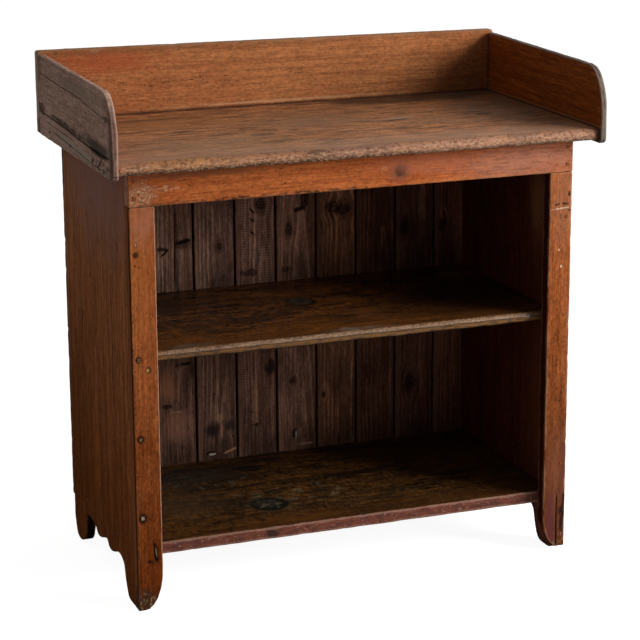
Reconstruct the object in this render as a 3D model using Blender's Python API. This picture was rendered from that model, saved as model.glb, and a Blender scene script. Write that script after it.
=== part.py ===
"""Bucket bench cabinet in old pine, modelled as separate boards and cut nails.

Lengths are in metres. +X runs along the front from left to right, +Y from front to back and
+Z up. The origin lies on the floor, under the middle of the whole object.
"""

import math

import bmesh
import bpy
from mathutils import Vector

# Body: two side boards, with the face frame nailed to their front edges.
BODY_WIDTH = 0.914
SIDE_DEPTH = 0.4455
SIDE_THICKNESS = 0.023
STILE_WIDTH = 0.050
STILE_THICKNESS = 0.027
RAIL_HEIGHT = 0.067

# Counter, and the gallery that stands round three sides of it.
COUNTER_HEIGHT = 0.888
COUNTER_THICKNESS = 0.024
COUNTER_REACH = 0.045
GALLERY_HEIGHT_LEFT = 0.139
GALLERY_HEIGHT_RIGHT = 0.130
GALLERY_REACH = 0.054
GALLERY_SIDE_REACH = 0.045
GALLERY_DROP = 0.005
GALLERY_BACK_THICKNESS = 0.0235
GALLERY_END_THICKNESS = 0.014
GALLERY_END_STEP = 0.005
GALLERY_END_FALL = 0.004
GALLERY_CURVE_DEPTH = 0.062
GALLERY_CURVE_HEIGHT = 0.088
GALLERY_TOE_RADIUS = 0.010

# Shelves, housed in grooves across the side boards.
FOOT_HEIGHT = 0.100
FLOOR_THICKNESS = 0.025
LOWER_BAY_HEIGHT = 0.362
SHELF_THICKNESS = 0.020
SHELF_NOSE_RADIUS = 0.008
SHELF_SETBACK = 0.004
HOUSING_DEPTH = 0.008

# Ship-lapped back boards, and the rail that their tops are nailed to.
BACK_BOARD_COUNT = 10
BACK_BOARD_GAP = 0.005
BACK_BOARD_LAP = 0.008
BACK_BOARD_THICKNESS = 0.016
BACK_BOARD_INSET = 0.0015
BACK_BOARD_DROP = 0.015
BACK_RAIL_HEIGHT = 0.060
BACK_RAIL_THICKNESS = 0.022

# Scalloped lower edge of the side boards, from the front foot to the back foot.
FRONT_FOOT_DEPTH = 0.036
BACK_FOOT_DEPTH = 0.010
FOOT_WAIST_HEIGHT = 0.040
FRONT_FOOT_FLARE = 0.030
BACK_FOOT_FLARE = 0.045
FRONT_OGEE_REACH = 0.040
BACK_OGEE_REACH = 0.022
APRON_HEIGHT = 0.027
WAVE_COUNT = 2
WAVE_DROP = 0.015
WAVE_NOSE = 0.022
CREST_LENGTH = 0.062
CREST_RISE = 0.004
HEEL_DEPTH = 0.028
HEEL_HEIGHT = 0.050

# Foot of a stile: its inner edge curves in towards the outer corner, and the right one is worn short.
STILE_TOE_WIDTH = 0.012
STILE_TAPER_HEIGHT = 0.080
STILE_WEAR_LEFT = 0.0
STILE_WEAR_RIGHT = 0.009

# Cut nails, with square heads set just proud of the wood.
NAIL_HEAD = 0.0060
NAIL_HEAD_DEPTH = 0.0020
NAIL_PROUD = 0.0006
NAIL_SHANK = 0.0036
NAIL_TIP = 0.0018
FRAME_NAIL_LENGTH = 0.050
SHELF_NAIL_LENGTH = 0.045
GALLERY_NAIL_LENGTH = 0.040
COUNTER_NAIL_LENGTH = 0.050
RAIL_NAIL_COUNT = 2
SHELF_NAIL_COUNT = 2
GALLERY_END_NAIL_COUNT = 3
GALLERY_BACK_NAIL_COUNT = 2
COUNTER_NAIL_COUNT = 2

# Where the stile nails stand, as shares of the way from the floor board up to the rail.
STILE_NAIL_SHARES = (0.097, 0.332, 0.566, 0.867)

# Clearances, eased edges and the steps of a curve.
FIT_GAP = 0.0003
CUT_MARGIN = 0.004
EASED_EDGE = 0.0015
GALLERY_EASED_EDGE = 0.0035
CURVE_STEPS = 6

# Places worked out from the sizes above.
LEFT, RIGHT = -1, 1
SIDE_NAMES = {LEFT: "left", RIGHT: "right"}
STILE_WEAR = {LEFT: STILE_WEAR_LEFT, RIGHT: STILE_WEAR_RIGHT}
SIDE_OUT = BODY_WIDTH / 2
SIDE_IN = SIDE_OUT - SIDE_THICKNESS
SIDE_MIDDLE = SIDE_OUT - SIDE_THICKNESS / 2
END_OUT = SIDE_OUT + GALLERY_SIDE_REACH
END_IN = END_OUT - GALLERY_END_THICKNESS
END_MIDDLE = END_OUT - GALLERY_END_THICKNESS / 2
COUNTER_HALF = END_IN - FIT_GAP
SHELF_HALF = SIDE_IN + HOUSING_DEPTH - FIT_GAP
BACK_THICKNESS = max(GALLERY_BACK_THICKNESS, BACK_BOARD_THICKNESS)
TOTAL_DEPTH = GALLERY_REACH + STILE_THICKNESS + SIDE_DEPTH + BACK_THICKNESS + 2 * FIT_GAP + NAIL_PROUD
GALLERY_FRONT = -TOTAL_DEPTH / 2
FACE = GALLERY_FRONT + GALLERY_REACH
SIDE_FRONT = FACE + STILE_THICKNESS + FIT_GAP
SIDE_BACK = SIDE_FRONT + SIDE_DEPTH
BACK_FRONT = SIDE_BACK + FIT_GAP
SHELF_FRONT = FACE + STILE_THICKNESS + SHELF_SETBACK
COUNTER_UNDERSIDE = COUNTER_HEIGHT - COUNTER_THICKNESS
BODY_TOP = COUNTER_UNDERSIDE - FIT_GAP
RAIL_BOTTOM = BODY_TOP - RAIL_HEIGHT
STILE_TOP = RAIL_BOTTOM - FIT_GAP
FLOOR_TOP = FOOT_HEIGHT + FLOOR_THICKNESS
SHELF_UNDERSIDE = FLOOR_TOP + LOWER_BAY_HEIGHT
GALLERY_BOTTOM = COUNTER_UNDERSIDE - GALLERY_DROP
GALLERY_TOP = {LEFT: COUNTER_HEIGHT + GALLERY_HEIGHT_LEFT, RIGHT: COUNTER_HEIGHT + GALLERY_HEIGHT_RIGHT}

# Colours of the old stained pine, and of the iron.
FACE_PINE = (0.250, 0.085, 0.028)
SIDE_PINE = (0.150, 0.055, 0.024)
COUNTER_PINE = (0.190, 0.075, 0.030)
GALLERY_PINE = (0.230, 0.085, 0.030)
SHELF_PINE = (0.085, 0.034, 0.014)
BACK_PINE = (0.050, 0.024, 0.013)
OLD_IRON = (0.030, 0.025, 0.022)
PINE_ROUGHNESS = 0.55
IRON_ROUGHNESS = 0.60

# For each direction of extrusion: the outline's two directions, and the way it is pulled.
OUTLINE_AXES = {
    "X": (Vector((0, 1, 0)), Vector((0, 0, 1)), Vector((1, 0, 0))),
    "Y": (Vector((1, 0, 0)), Vector((0, 0, 1)), Vector((0, 1, 0))),
    "Z": (Vector((1, 0, 0)), Vector((0, 1, 0)), Vector((0, 0, 1))),
}
SMOOTH_ANGLE = math.radians(35)
EASE_ANGLE = math.radians(60)


def clear_scene():
    """Remove every object, so that the model starts from nothing."""
    for item in list(bpy.data.objects):
        bpy.data.objects.remove(item, do_unlink=True)


def finish(name, colour, roughness, metallic=0.0):
    """Return a plain material of one colour."""
    material = bpy.data.materials.new(name)
    material.use_nodes = True
    shader = material.node_tree.nodes["Principled BSDF"]
    shader.inputs["Base Color"].default_value = (*colour, 1.0)
    shader.inputs["Roughness"].default_value = roughness
    shader.inputs["Metallic"].default_value = metallic
    return material


def add_object(name, mesh, location, material=None):
    """Link a mesh into the scene at a place, with its material where it has one."""
    item = bpy.data.objects.new(name, mesh)
    item.location = location
    if material:
        mesh.materials.append(material)
    bpy.context.scene.collection.objects.link(item)
    return item


def arc(centre, radii, start, end, steps=CURVE_STEPS):
    """Points along part of an ellipse, with both ends; the angles are in degrees."""
    points = []
    for step in range(steps + 1):
        angle = math.radians(start + (end - start) * step / steps)
        points.append((centre[0] + radii[0] * math.cos(angle), centre[1] + radii[1] * math.sin(angle)))
    return points


def rectangle(width, height):
    """Outline of a plain board, from its lower left corner."""
    return [(0, 0), (width, 0), (width, height), (0, height)]


def spread(start, end, count):
    """Middles of equal shares of a length."""
    share = (end - start) / count
    return [start + share * (index + 0.5) for index in range(count)]


def prism(name, outline, axis, length):
    """Return the closed mesh of an outline that is extruded along an axis."""
    across, up, along = OUTLINE_AXES[axis]
    shape = bmesh.new()
    near = [shape.verts.new(across * a + up * b) for a, b in outline]
    far = [shape.verts.new(across * a + up * b + along * length) for a, b in outline]
    shape.faces.new(near)
    shape.faces.new(far)
    for index in range(len(outline)):
        after = (index + 1) % len(outline)
        shape.faces.new((near[index], near[after], far[after], far[index]))
    bmesh.ops.recalc_face_normals(shape, faces=shape.faces)
    mesh = bpy.data.meshes.new(name)
    shape.to_mesh(mesh)
    shape.free()
    mesh.shade_smooth()
    mesh.set_sharp_from_angle(angle=SMOOTH_ANGLE)
    return mesh


class Workshop:
    """Makes the boards and nails, and keeps the cutters of each board together."""

    def __init__(self):
        """Start with no boards, under one empty that carries the whole cabinet."""
        self.carcass = add_object("cabinet", None, (0, 0, 0))
        self.boards = {}
        self.cuts = {}

    def board(self, name, outline, axis, length, location, colour, ease=EASED_EDGE):
        """Add one board with eased edges, made from its outline."""
        material = finish(name, colour, PINE_ROUGHNESS)
        item = add_object(name, prism(name, outline, axis, length), location, material)
        item.parent = self.carcass
        bevel = item.modifiers.new("eased_edges", "BEVEL")
        bevel.width = ease
        bevel.segments = 1
        bevel.limit_method = "ANGLE"
        bevel.angle_limit = EASE_ANGLE
        self.boards[name] = item
        return item

    def cut(self, board_names, cutter):
        """Take a cutter out of the named boards."""
        cutter.parent = self.carcass
        cutter.hide_render = True
        cutter.display_type = "WIRE"
        for name in board_names:
            if name not in self.cuts:
                self.cuts[name] = bpy.data.collections.new(f"{name}_cuts")
                bpy.context.scene.collection.children.link(self.cuts[name])
                hollow = self.boards[name].modifiers.new("housings_and_nail_holes", "BOOLEAN")
                hollow.operation = "DIFFERENCE"
                hollow.solver = "EXACT"
                hollow.operand_type = "COLLECTION"
                hollow.collection = self.cuts[name]
            self.cuts[name].objects.link(cutter)

    def nail(self, name, head, direction, length, board_names):
        """Drive a cut nail from its head point, and cut its hole in the boards that it holds."""
        hole_mesh = nail_mesh(f"{name}_hole", length, CUT_MARGIN, FIT_GAP)
        hole = add_object(f"{name}_hole", hole_mesh, head)
        material = finish(name, OLD_IRON, IRON_ROUGHNESS, metallic=0.8)
        item = add_object(name, nail_mesh(name, length, NAIL_PROUD, 0.0), head, material)
        item.parent = self.carcass
        turn = direction.to_track_quat("Z", "Y").to_euler()
        item.rotation_euler = turn
        hole.rotation_euler = turn
        self.cut(board_names, hole)


def nail_mesh(name, length, proud, grown):
    """Square nail along +Z with its head at the origin; a hole is the same shape grown."""
    head = NAIL_HEAD / 2 + grown
    stations = [
        (-proud, head),
        (NAIL_HEAD_DEPTH + grown, head),
        (NAIL_HEAD_DEPTH + grown, NAIL_SHANK / 2 + grown),
        (length + grown, NAIL_TIP / 2 + grown),
    ]
    shape = bmesh.new()
    rings = []
    for depth, half in stations:
        corners = ((-half, -half), (half, -half), (half, half), (-half, half))
        rings.append([shape.verts.new((x, y, depth)) for x, y in corners])
    shape.faces.new(rings[0])
    shape.faces.new(rings[-1])
    for upper, lower in zip(rings, rings[1:]):
        for index in range(4):
            after = (index + 1) % 4
            shape.faces.new((upper[index], upper[after], lower[after], lower[index]))
    bmesh.ops.recalc_face_normals(shape, faces=shape.faces)
    mesh = bpy.data.meshes.new(name)
    shape.to_mesh(mesh)
    shape.free()
    return mesh


def wave(start, end, top):
    """One scallop of the side's lower edge: a slow fall, then a round nose that turns up steeply."""
    nose = end - WAVE_NOSE
    fall = []
    for step in range(1, CURVE_STEPS):
        share = step / CURVE_STEPS
        drop = WAVE_DROP * (1 - math.cos(math.pi * share)) / 2
        fall.append((start + (nose - start) * share, top - drop))
    return fall + arc((nose, top), (WAVE_NOSE, WAVE_DROP), -90, 0)


def side_outline():
    """Side board seen from its end: the scalloped lower edge, then the back, top and front edges."""
    arch = FOOT_HEIGHT - APRON_HEIGHT
    crest = arch + CREST_RISE
    waist = FOOT_WAIST_HEIGHT
    front_toe = FRONT_FOOT_DEPTH
    front_waist = front_toe + FRONT_FOOT_FLARE
    arch_start = front_waist + FRONT_OGEE_REACH
    back_toe = SIDE_DEPTH - HEEL_DEPTH - BACK_FOOT_DEPTH
    back_waist = back_toe - BACK_FOOT_FLARE
    crest_end = back_waist - BACK_OGEE_REACH
    waves_end = crest_end - CREST_LENGTH
    wave_length = (waves_end - arch_start) / WAVE_COUNT

    points = [(0, 0)]
    points += arc((front_toe, waist), (FRONT_FOOT_FLARE, waist), -90, 0)
    points += arc((arch_start, waist), (FRONT_OGEE_REACH, arch - waist), 180, 90)[1:]
    for index in range(WAVE_COUNT):
        start = arch_start + wave_length * index
        points += wave(start, start + wave_length, arch)
    points += arc((crest_end, waist), (BACK_OGEE_REACH, crest - waist), 90, 0)
    points += arc((back_toe, waist), (BACK_FOOT_FLARE, waist), 180, 270)[1:]
    points += arc((SIDE_DEPTH - HEEL_DEPTH, HEEL_HEIGHT), (HEEL_DEPTH, HEEL_HEIGHT), -90, 0)
    points += [(SIDE_DEPTH, BODY_TOP), (0, BODY_TOP)]
    return points


def stile_outline(hand):
    """Stile seen from the front, from its outer edge inwards, with its tapered foot."""
    wear = STILE_WEAR[hand]
    radii = (STILE_WIDTH - STILE_TOE_WIDTH, STILE_TAPER_HEIGHT - wear)
    foot = arc((-STILE_TOE_WIDTH, STILE_TAPER_HEIGHT), radii, 270, 180)
    points = [(0, STILE_TOP), (0, wear)] + foot + [(-STILE_WIDTH, STILE_TOP)]
    return [(hand * a, b) for a, b in points]


def gallery_end_outline(hand):
    """Gallery end seen from its side, from its lower front corner: a long curve to a sloping top."""
    depth = SIDE_BACK - GALLERY_FRONT
    back_top = GALLERY_TOP[hand] - GALLERY_END_STEP - GALLERY_BOTTOM
    front_top = back_top - GALLERY_END_FALL
    toe = GALLERY_TOE_RADIUS
    centre = (GALLERY_CURVE_DEPTH, front_top - GALLERY_CURVE_HEIGHT)
    points = arc((toe, toe), (toe, toe), 270, 180)
    points += arc(centre, (GALLERY_CURVE_DEPTH, GALLERY_CURVE_HEIGHT), 180, 90)
    return points + [(depth, back_top), (depth, 0)]


def gallery_back_outline():
    """Gallery back seen from the front, from its lower left corner; its top falls to the right."""
    left_top = GALLERY_TOP[LEFT] - GALLERY_BOTTOM
    right_top = GALLERY_TOP[RIGHT] - GALLERY_BOTTOM
    return [(0, 0), (2 * END_OUT, 0), (2 * END_OUT, right_top), (0, left_top)]


def counter_outline():
    """Counter seen from its end, with a bullnose along the front."""
    radius = COUNTER_THICKNESS / 2
    depth = SIDE_BACK - (FACE - COUNTER_REACH)
    nose = arc((radius, radius), (radius, radius), 270, 90, 2 * CURVE_STEPS)
    return nose + [(depth, COUNTER_THICKNESS), (depth, 0)]


def shelf_outline(depth):
    """Middle shelf seen from its end, with its two front edges rounded."""
    radius = SHELF_NOSE_RADIUS
    upper = (radius, SHELF_THICKNESS - radius)
    nose = arc((radius, radius), (radius, radius), 270, 180)
    nose += arc(upper, (radius, radius), 180, 90)
    return nose + [(depth, SHELF_THICKNESS), (depth, 0)]


def back_board_outline(width, first, last):
    """Back board seen from above: its tongue runs behind the gap and into the next board's rebate."""
    rebate = BACK_BOARD_THICKNESS / 2 - FIT_GAP / 2
    shoulder = BACK_BOARD_THICKNESS / 2 + FIT_GAP / 2
    tongue = width + BACK_BOARD_GAP + BACK_BOARD_LAP
    points = [(0, 0), (width, 0)]
    if last:
        points += [(width, BACK_BOARD_THICKNESS)]
    else:
        points += [(width, shoulder), (tongue, shoulder), (tongue, BACK_BOARD_THICKNESS)]
    if first:
        points += [(0, BACK_BOARD_THICKNESS)]
    else:
        lap = BACK_BOARD_LAP + FIT_GAP
        points += [(lap, BACK_BOARD_THICKNESS), (lap, rebate), (0, rebate)]
    return points


def make_body(shop):
    """The two sides with their housings, and the face frame over their front edges."""
    housings = {"floor": (FOOT_HEIGHT, FLOOR_THICKNESS), "shelf": (SHELF_UNDERSIDE, SHELF_THICKNESS)}
    for hand, word in SIDE_NAMES.items():
        low_x = SIDE_IN if hand == RIGHT else -SIDE_OUT
        side = f"side_{word}"
        shop.board(side, side_outline(), "X", SIDE_THICKNESS, (low_x, SIDE_FRONT, 0), SIDE_PINE)
        for kind, (level, thickness) in housings.items():
            slot = rectangle(SIDE_DEPTH + 2 * CUT_MARGIN, thickness + 2 * FIT_GAP)
            name = f"{side}_{kind}_housing"
            width = HOUSING_DEPTH + CUT_MARGIN
            slot_x = SIDE_IN - CUT_MARGIN if hand == RIGHT else -SIDE_IN - HOUSING_DEPTH
            place = (slot_x, SIDE_FRONT - CUT_MARGIN, level - FIT_GAP)
            shop.cut([side], add_object(name, prism(name, slot, "X", width), place))
        place = (hand * SIDE_OUT, FACE, 0)
        shop.board(f"stile_{word}", stile_outline(hand), "Y", STILE_THICKNESS, place, FACE_PINE)
    rail = rectangle(BODY_WIDTH, RAIL_HEIGHT)
    shop.board("top_rail", rail, "Y", STILE_THICKNESS, (-SIDE_OUT, FACE, RAIL_BOTTOM), FACE_PINE)


def make_shelves(shop):
    """The floor board and the middle shelf, between the housings and up to the back boards."""
    length = 2 * SHELF_HALF
    depth = SIDE_BACK - SHELF_FRONT
    floor = rectangle(depth, FLOOR_THICKNESS)
    shop.board("floor_board", floor, "X", length, (-SHELF_HALF, SHELF_FRONT, FOOT_HEIGHT), SHELF_PINE)
    place = (-SHELF_HALF, SHELF_FRONT, SHELF_UNDERSIDE)
    shop.board("middle_shelf", shelf_outline(depth), "X", length, place, SHELF_PINE)


def make_counter(shop):
    """The counter board, and the gallery ends and back that stand round it."""
    place = (-COUNTER_HALF, FACE - COUNTER_REACH, COUNTER_UNDERSIDE)
    shop.board("counter_top", counter_outline(), "X", 2 * COUNTER_HALF, place, COUNTER_PINE)
    for hand, word in SIDE_NAMES.items():
        low_x = END_IN if hand == RIGHT else -END_OUT
        place = (low_x, GALLERY_FRONT, GALLERY_BOTTOM)
        shop.board(f"gallery_end_{word}", gallery_end_outline(hand), "X", GALLERY_END_THICKNESS,
                   place, GALLERY_PINE, GALLERY_EASED_EDGE)
    place = (-END_OUT, BACK_FRONT, GALLERY_BOTTOM)
    shop.board("gallery_back", gallery_back_outline(), "Y", GALLERY_BACK_THICKNESS, place,
               GALLERY_PINE, GALLERY_EASED_EDGE)


def make_back(shop):
    """The row of ship-lapped back boards, and the rail that their tops are nailed to."""
    row_width = BODY_WIDTH - 2 * BACK_BOARD_INSET
    width = (row_width - BACK_BOARD_GAP * (BACK_BOARD_COUNT - 1)) / BACK_BOARD_COUNT
    bottom = FOOT_HEIGHT - BACK_BOARD_DROP
    height = GALLERY_BOTTOM - FIT_GAP - bottom
    for index in range(BACK_BOARD_COUNT):
        low_x = -row_width / 2 + index * (width + BACK_BOARD_GAP)
        name = f"back_board_{index + 1:02d}"
        outline = back_board_outline(width, index == 0, index == BACK_BOARD_COUNT - 1)
        shop.board(name, outline, "Z", height, (low_x, BACK_FRONT, bottom), BACK_PINE)
    half = SIDE_IN - FIT_GAP
    rail = rectangle(BACK_RAIL_THICKNESS, BACK_RAIL_HEIGHT)
    place = (-half, SIDE_BACK - BACK_RAIL_THICKNESS, BODY_TOP - BACK_RAIL_HEIGHT)
    shop.board("back_rail", rail, "X", 2 * half, place, BACK_PINE)


def drive_nails(shop):
    """Every nail of the frame, the shelves, the gallery and the counter, on both hands."""
    back = BACK_FRONT + GALLERY_BACK_THICKNESS
    shelf_levels = {
        "floor_board": FOOT_HEIGHT + FLOOR_THICKNESS / 2,
        "middle_shelf": SHELF_UNDERSIDE + SHELF_THICKNESS / 2,
    }
    backwards = Vector((0, 1, 0))
    for hand, word in SIDE_NAMES.items():
        side = f"side_{word}"
        end = f"gallery_end_{word}"
        stile = f"stile_{word}"
        inwards = Vector((-hand, 0, 0))
        for index, share in enumerate(STILE_NAIL_SHARES, 1):
            head = (hand * SIDE_MIDDLE, FACE, FLOOR_TOP + share * (STILE_TOP - FLOOR_TOP))
            shop.nail(f"stile_nail_{word}_{index}", head, backwards, FRAME_NAIL_LENGTH, (stile, side))
        for index, z in enumerate(spread(RAIL_BOTTOM, BODY_TOP, RAIL_NAIL_COUNT), 1):
            head = (hand * SIDE_MIDDLE, FACE, z)
            shop.nail(f"rail_nail_{word}_{index}", head, backwards, FRAME_NAIL_LENGTH, ("top_rail", side))
        for shelf, z in shelf_levels.items():
            for index, y in enumerate(spread(SIDE_FRONT, SIDE_BACK, SHELF_NAIL_COUNT), 1):
                head = (hand * SIDE_OUT, y, z)
                name = f"{shelf}_nail_{word}_{index}"
                shop.nail(name, head, inwards, SHELF_NAIL_LENGTH, (side, shelf))
        counter_middle = COUNTER_UNDERSIDE + COUNTER_THICKNESS / 2
        for index, y in enumerate(spread(FACE, SIDE_BACK, GALLERY_END_NAIL_COUNT), 1):
            head = (hand * END_OUT, y, counter_middle)
            shop.nail(f"{end}_nail_{index}", head, inwards, GALLERY_NAIL_LENGTH, (end, "counter_top"))
        end_top = GALLERY_TOP[hand] - GALLERY_END_STEP
        for index, z in enumerate(spread(COUNTER_HEIGHT, end_top, GALLERY_BACK_NAIL_COUNT), 1):
            head = (hand * END_MIDDLE, back, z)
            name = f"gallery_back_nail_{word}_{index}"
            shop.nail(name, head, -backwards, GALLERY_NAIL_LENGTH, ("gallery_back", end))
        for index, y in enumerate(spread(SIDE_FRONT, SIDE_BACK, COUNTER_NAIL_COUNT), 1):
            head = (hand * SIDE_MIDDLE, y, COUNTER_HEIGHT)
            name = f"counter_nail_{word}_{index}"
            shop.nail(name, head, Vector((0, 0, -1)), COUNTER_NAIL_LENGTH, ("counter_top", side))


def main():
    """Build the whole cabinet in an emptied scene."""
    clear_scene()
    shop = Workshop()
    make_body(shop)
    make_shelves(shop)
    make_counter(shop)
    make_back(shop)
    drive_nails(shop)
    bpy.context.view_layer.update()


main()
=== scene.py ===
"""Looks of an old bucket bench cabinet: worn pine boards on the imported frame, with iron nails.

Lengths are in metres, in the frame's own axes: +X along the front, +Y to the back and +Z up.
Each board is a closed grid that follows its node's outline, with rubbed edges, dents and checks.
Its finish is drawn by shader nodes from the directions of its own grain.
"""

import logging
import math
from collections.abc import Sequence
from dataclasses import astuple, dataclass, replace
from enum import Enum

import bmesh
import bpy
import numpy as np
from mathutils import Matrix, Vector
from mathutils.bvhtree import BVHTree


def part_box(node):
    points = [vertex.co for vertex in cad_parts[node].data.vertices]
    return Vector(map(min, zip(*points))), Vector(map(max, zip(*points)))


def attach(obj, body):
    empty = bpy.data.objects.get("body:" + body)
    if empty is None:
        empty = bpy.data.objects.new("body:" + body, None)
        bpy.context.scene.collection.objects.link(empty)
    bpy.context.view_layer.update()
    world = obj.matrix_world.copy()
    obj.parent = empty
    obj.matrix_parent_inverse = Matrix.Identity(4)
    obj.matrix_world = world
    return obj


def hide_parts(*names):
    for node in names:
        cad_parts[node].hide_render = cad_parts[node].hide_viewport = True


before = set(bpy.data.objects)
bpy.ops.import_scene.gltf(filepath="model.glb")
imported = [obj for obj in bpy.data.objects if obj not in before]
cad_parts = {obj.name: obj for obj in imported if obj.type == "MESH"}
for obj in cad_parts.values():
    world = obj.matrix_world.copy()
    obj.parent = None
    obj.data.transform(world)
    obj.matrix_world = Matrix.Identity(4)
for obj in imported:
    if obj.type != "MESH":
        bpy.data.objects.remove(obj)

LOG = logging.getLogger("cabinet")
BODY = "root"
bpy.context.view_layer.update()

# Kinds of values: a place is two numbers along and across a board, a spot is a point of the frame.
Colour = tuple[float, float, float]
Rates = tuple[float, float, float]
Spot = tuple[float, float, float]
Place = tuple[float, float]
Array = np.ndarray
Material = bpy.types.Material
Socket = bpy.types.NodeSocket
Value = Socket | float


class Axis(Enum):
    """The frame's three directions."""

    X = 0
    Y = 1
    Z = 2


class Lie(Enum):
    """How a board lies: the axes that its grid runs along, runs across and is thick in."""

    STANDING = (2, 0, 1)
    ACROSS = (0, 2, 1)
    SIDE_ON = (1, 2, 0)
    FLAT = (0, 1, 2)

    def turns_left(self) -> bool:
        """Whether the three axes make a left-handed set."""
        return np.linalg.det(np.eye(3)[list(self.value)]) < 0


class Part(Enum):
    """Directions of a board's own grain."""

    ALONG = 0
    ACROSS = 1
    THROUGH = 2


# How far in from an edge the grid has its lines, as shares of the edge's radius.
ROUND_STEPS = (0.0, 0.03, 0.12, 0.3, 0.55, 0.8, 1.0)
# Loops of points round a board's rim, between its two faces.
RIM_LOOPS = 3
# Smallest thickness left, smallest length, slack of a count, and width of the step at a seam.
LEAST_EDGE = 0.0002
LEAST_SPAN = 1e-12
COUNT_SLACK = 1e-6
SEAM = 0.00015
# A face this near to an edge, as a share of the widest edge's radius, wears the show face's finish.
RUBBED_SHARE = 0.8

# Where a node's outline is felt for: from how far outside, how far in from its ends and at which depths.
OUTLINE_RUN_UP = 1.0
OUTLINE_MARGIN = 0.0004
OUTLINE_DEPTHS = (0.3, 0.7)

# Grid lines beside a crack, as shares of its width, and the share at which its lips end.
CHECK_STEPS = (-1.25, -0.8, -0.4, 0.0, 0.4, 0.8, 1.25)
CHECK_LIP = 1.25

# Unevenness of a board: lengths of its waves, and what is added to the board's seed to draw them.
HIGH_EDGE_SEED = 50
NIBBLE_PITCHES = (0.035, 0.009)
CHIP_WIDTHS = (0.002, 0.009)
RUB_SEED = 7
RUB_PITCH = 0.06
RUB_SPREAD = 0.3
# Seed, pitch and share of each wave of a hand-planed face.
SWELL_WAVES = ((9, 0.13, 1.0), (11, 0.03, 0.3))


class Ripple:
    """Smooth seeded unevenness between about -1 and 1, made of a few random waves."""

    def __init__(self, seed: int, pitch: float, spread: float = 2 * math.pi, waves: int = 7) -> None:
        """Draw the waves.

        Args:
            seed: Picks the waves.
            pitch: Usual length of a wave.
            spread: Range of the waves' directions, 0 for waves along the first direction only.
            waves: How many waves are added.
        """
        draw = np.random.default_rng(seed)
        angles = draw.uniform(0, 1, waves) * spread
        rates = 2 * math.pi / pitch * draw.uniform(0.6, 1.8, waves)
        self.rates = np.stack((rates * np.cos(angles), rates * np.sin(angles)), axis=1)
        self.phases = draw.uniform(0, 2 * math.pi, waves)

    def at(self, along: Array, across: Array | float = 0.0) -> Array:
        """Height of the ripple at places along and across.

        Args:
            along: First coordinates.
            across: Second coordinates.

        Returns:
            The heights, in the shape of the coordinates.
        """
        total = sum(
            np.sin(rate[0] * along + rate[1] * across + phase)
            for rate, phase in zip(self.rates, self.phases)
        )
        return total / (1.5 * math.sqrt(len(self.phases)))


@dataclass(frozen=True)
class Edges:
    """Radii of a board's four rubbed edges, at the grid's start, end, low and high side."""

    start: float
    end: float
    low: float
    high: float


@dataclass(frozen=True)
class Dent:
    """A round or long hollow in the show face, at a place along and across the grid."""

    at: Place
    size: Place
    depth: float
    shade: float = 0.0


@dataclass(frozen=True)
class Check:
    """A crack along the grid, through a few places; its depth fades at its two tips."""

    path: Sequence[Place]
    width: float
    depth: float
    fade: float = 0.03

    def line(self, along: Array) -> Array:
        """Where the crack lies across the board, at places along it."""
        return np.interp(along, *zip(*self.path))

    def amount(self, along: Array, across: Array) -> Array:
        """Share of the full depth at places on the board.

        Args:
            along: First coordinates.
            across: Second coordinates.

        Returns:
            1 in the crack's bed, down to 0 outside it.
        """
        first, last = self.path[0][0], self.path[-1][0]
        tips = np.clip(np.minimum(along - first, last - along) / self.fade, 0, 1)
        off = np.abs(across - self.line(along)) / self.width
        return tips * np.clip(CHECK_LIP - off, 0, 1)


@dataclass(frozen=True)
class Lap:
    """A rebate along one long edge: past a line, one face drops to the board's middle."""

    line: float
    beyond: int
    face: int
    depth: float
    radius: float = 0.0018


@dataclass(frozen=True)
class Groove:
    """A housing cut across the hidden face, between two levels."""

    low: float
    high: float
    depth: float


def filled(start: Array, end: Array, pitch: float) -> list[Array]:
    """Evenly spaced lines after one line, up to and with another.

    Args:
        start: The line before the first one.
        end: The last line.
        pitch: Widest space between lines.

    Returns:
        The lines in order.
    """
    count = max(1, math.ceil(float(np.max(end - start)) / pitch - COUNT_SLACK))
    return [start + (end - start) * step / count for step in range(1, count + 1)]


def distance_to(points: Array, line: Array) -> Array:
    """Shortest distance from each point to a line of straight pieces.

    Args:
        points: Points of a plane, one in each row.
        line: Corners of the line, one in each row.

    Returns:
        One distance for each point.
    """
    nearest = np.full(len(points), np.inf)
    for start, end in zip(line, line[1:]):
        span = end - start
        share = np.clip((points - start) @ span / max(float(span @ span), LEAST_SPAN), 0, 1)
        nearest = np.minimum(nearest, np.linalg.norm(points - start - share[:, None] * span, axis=1))
    return nearest


def rounding(distance: Array, radius: float | Array) -> Array:
    """How far a rubbed edge has dropped below its face, at distances in from the edge."""
    inside = np.clip(radius - distance, 0, radius)
    return radius - np.sqrt(np.maximum(radius**2 - inside**2, 0))


@dataclass(frozen=True)
class Grid:
    """Places of a board's grid points, and its low and high border at each column."""

    along: Array
    across: Array
    low: Array
    high: Array


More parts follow.
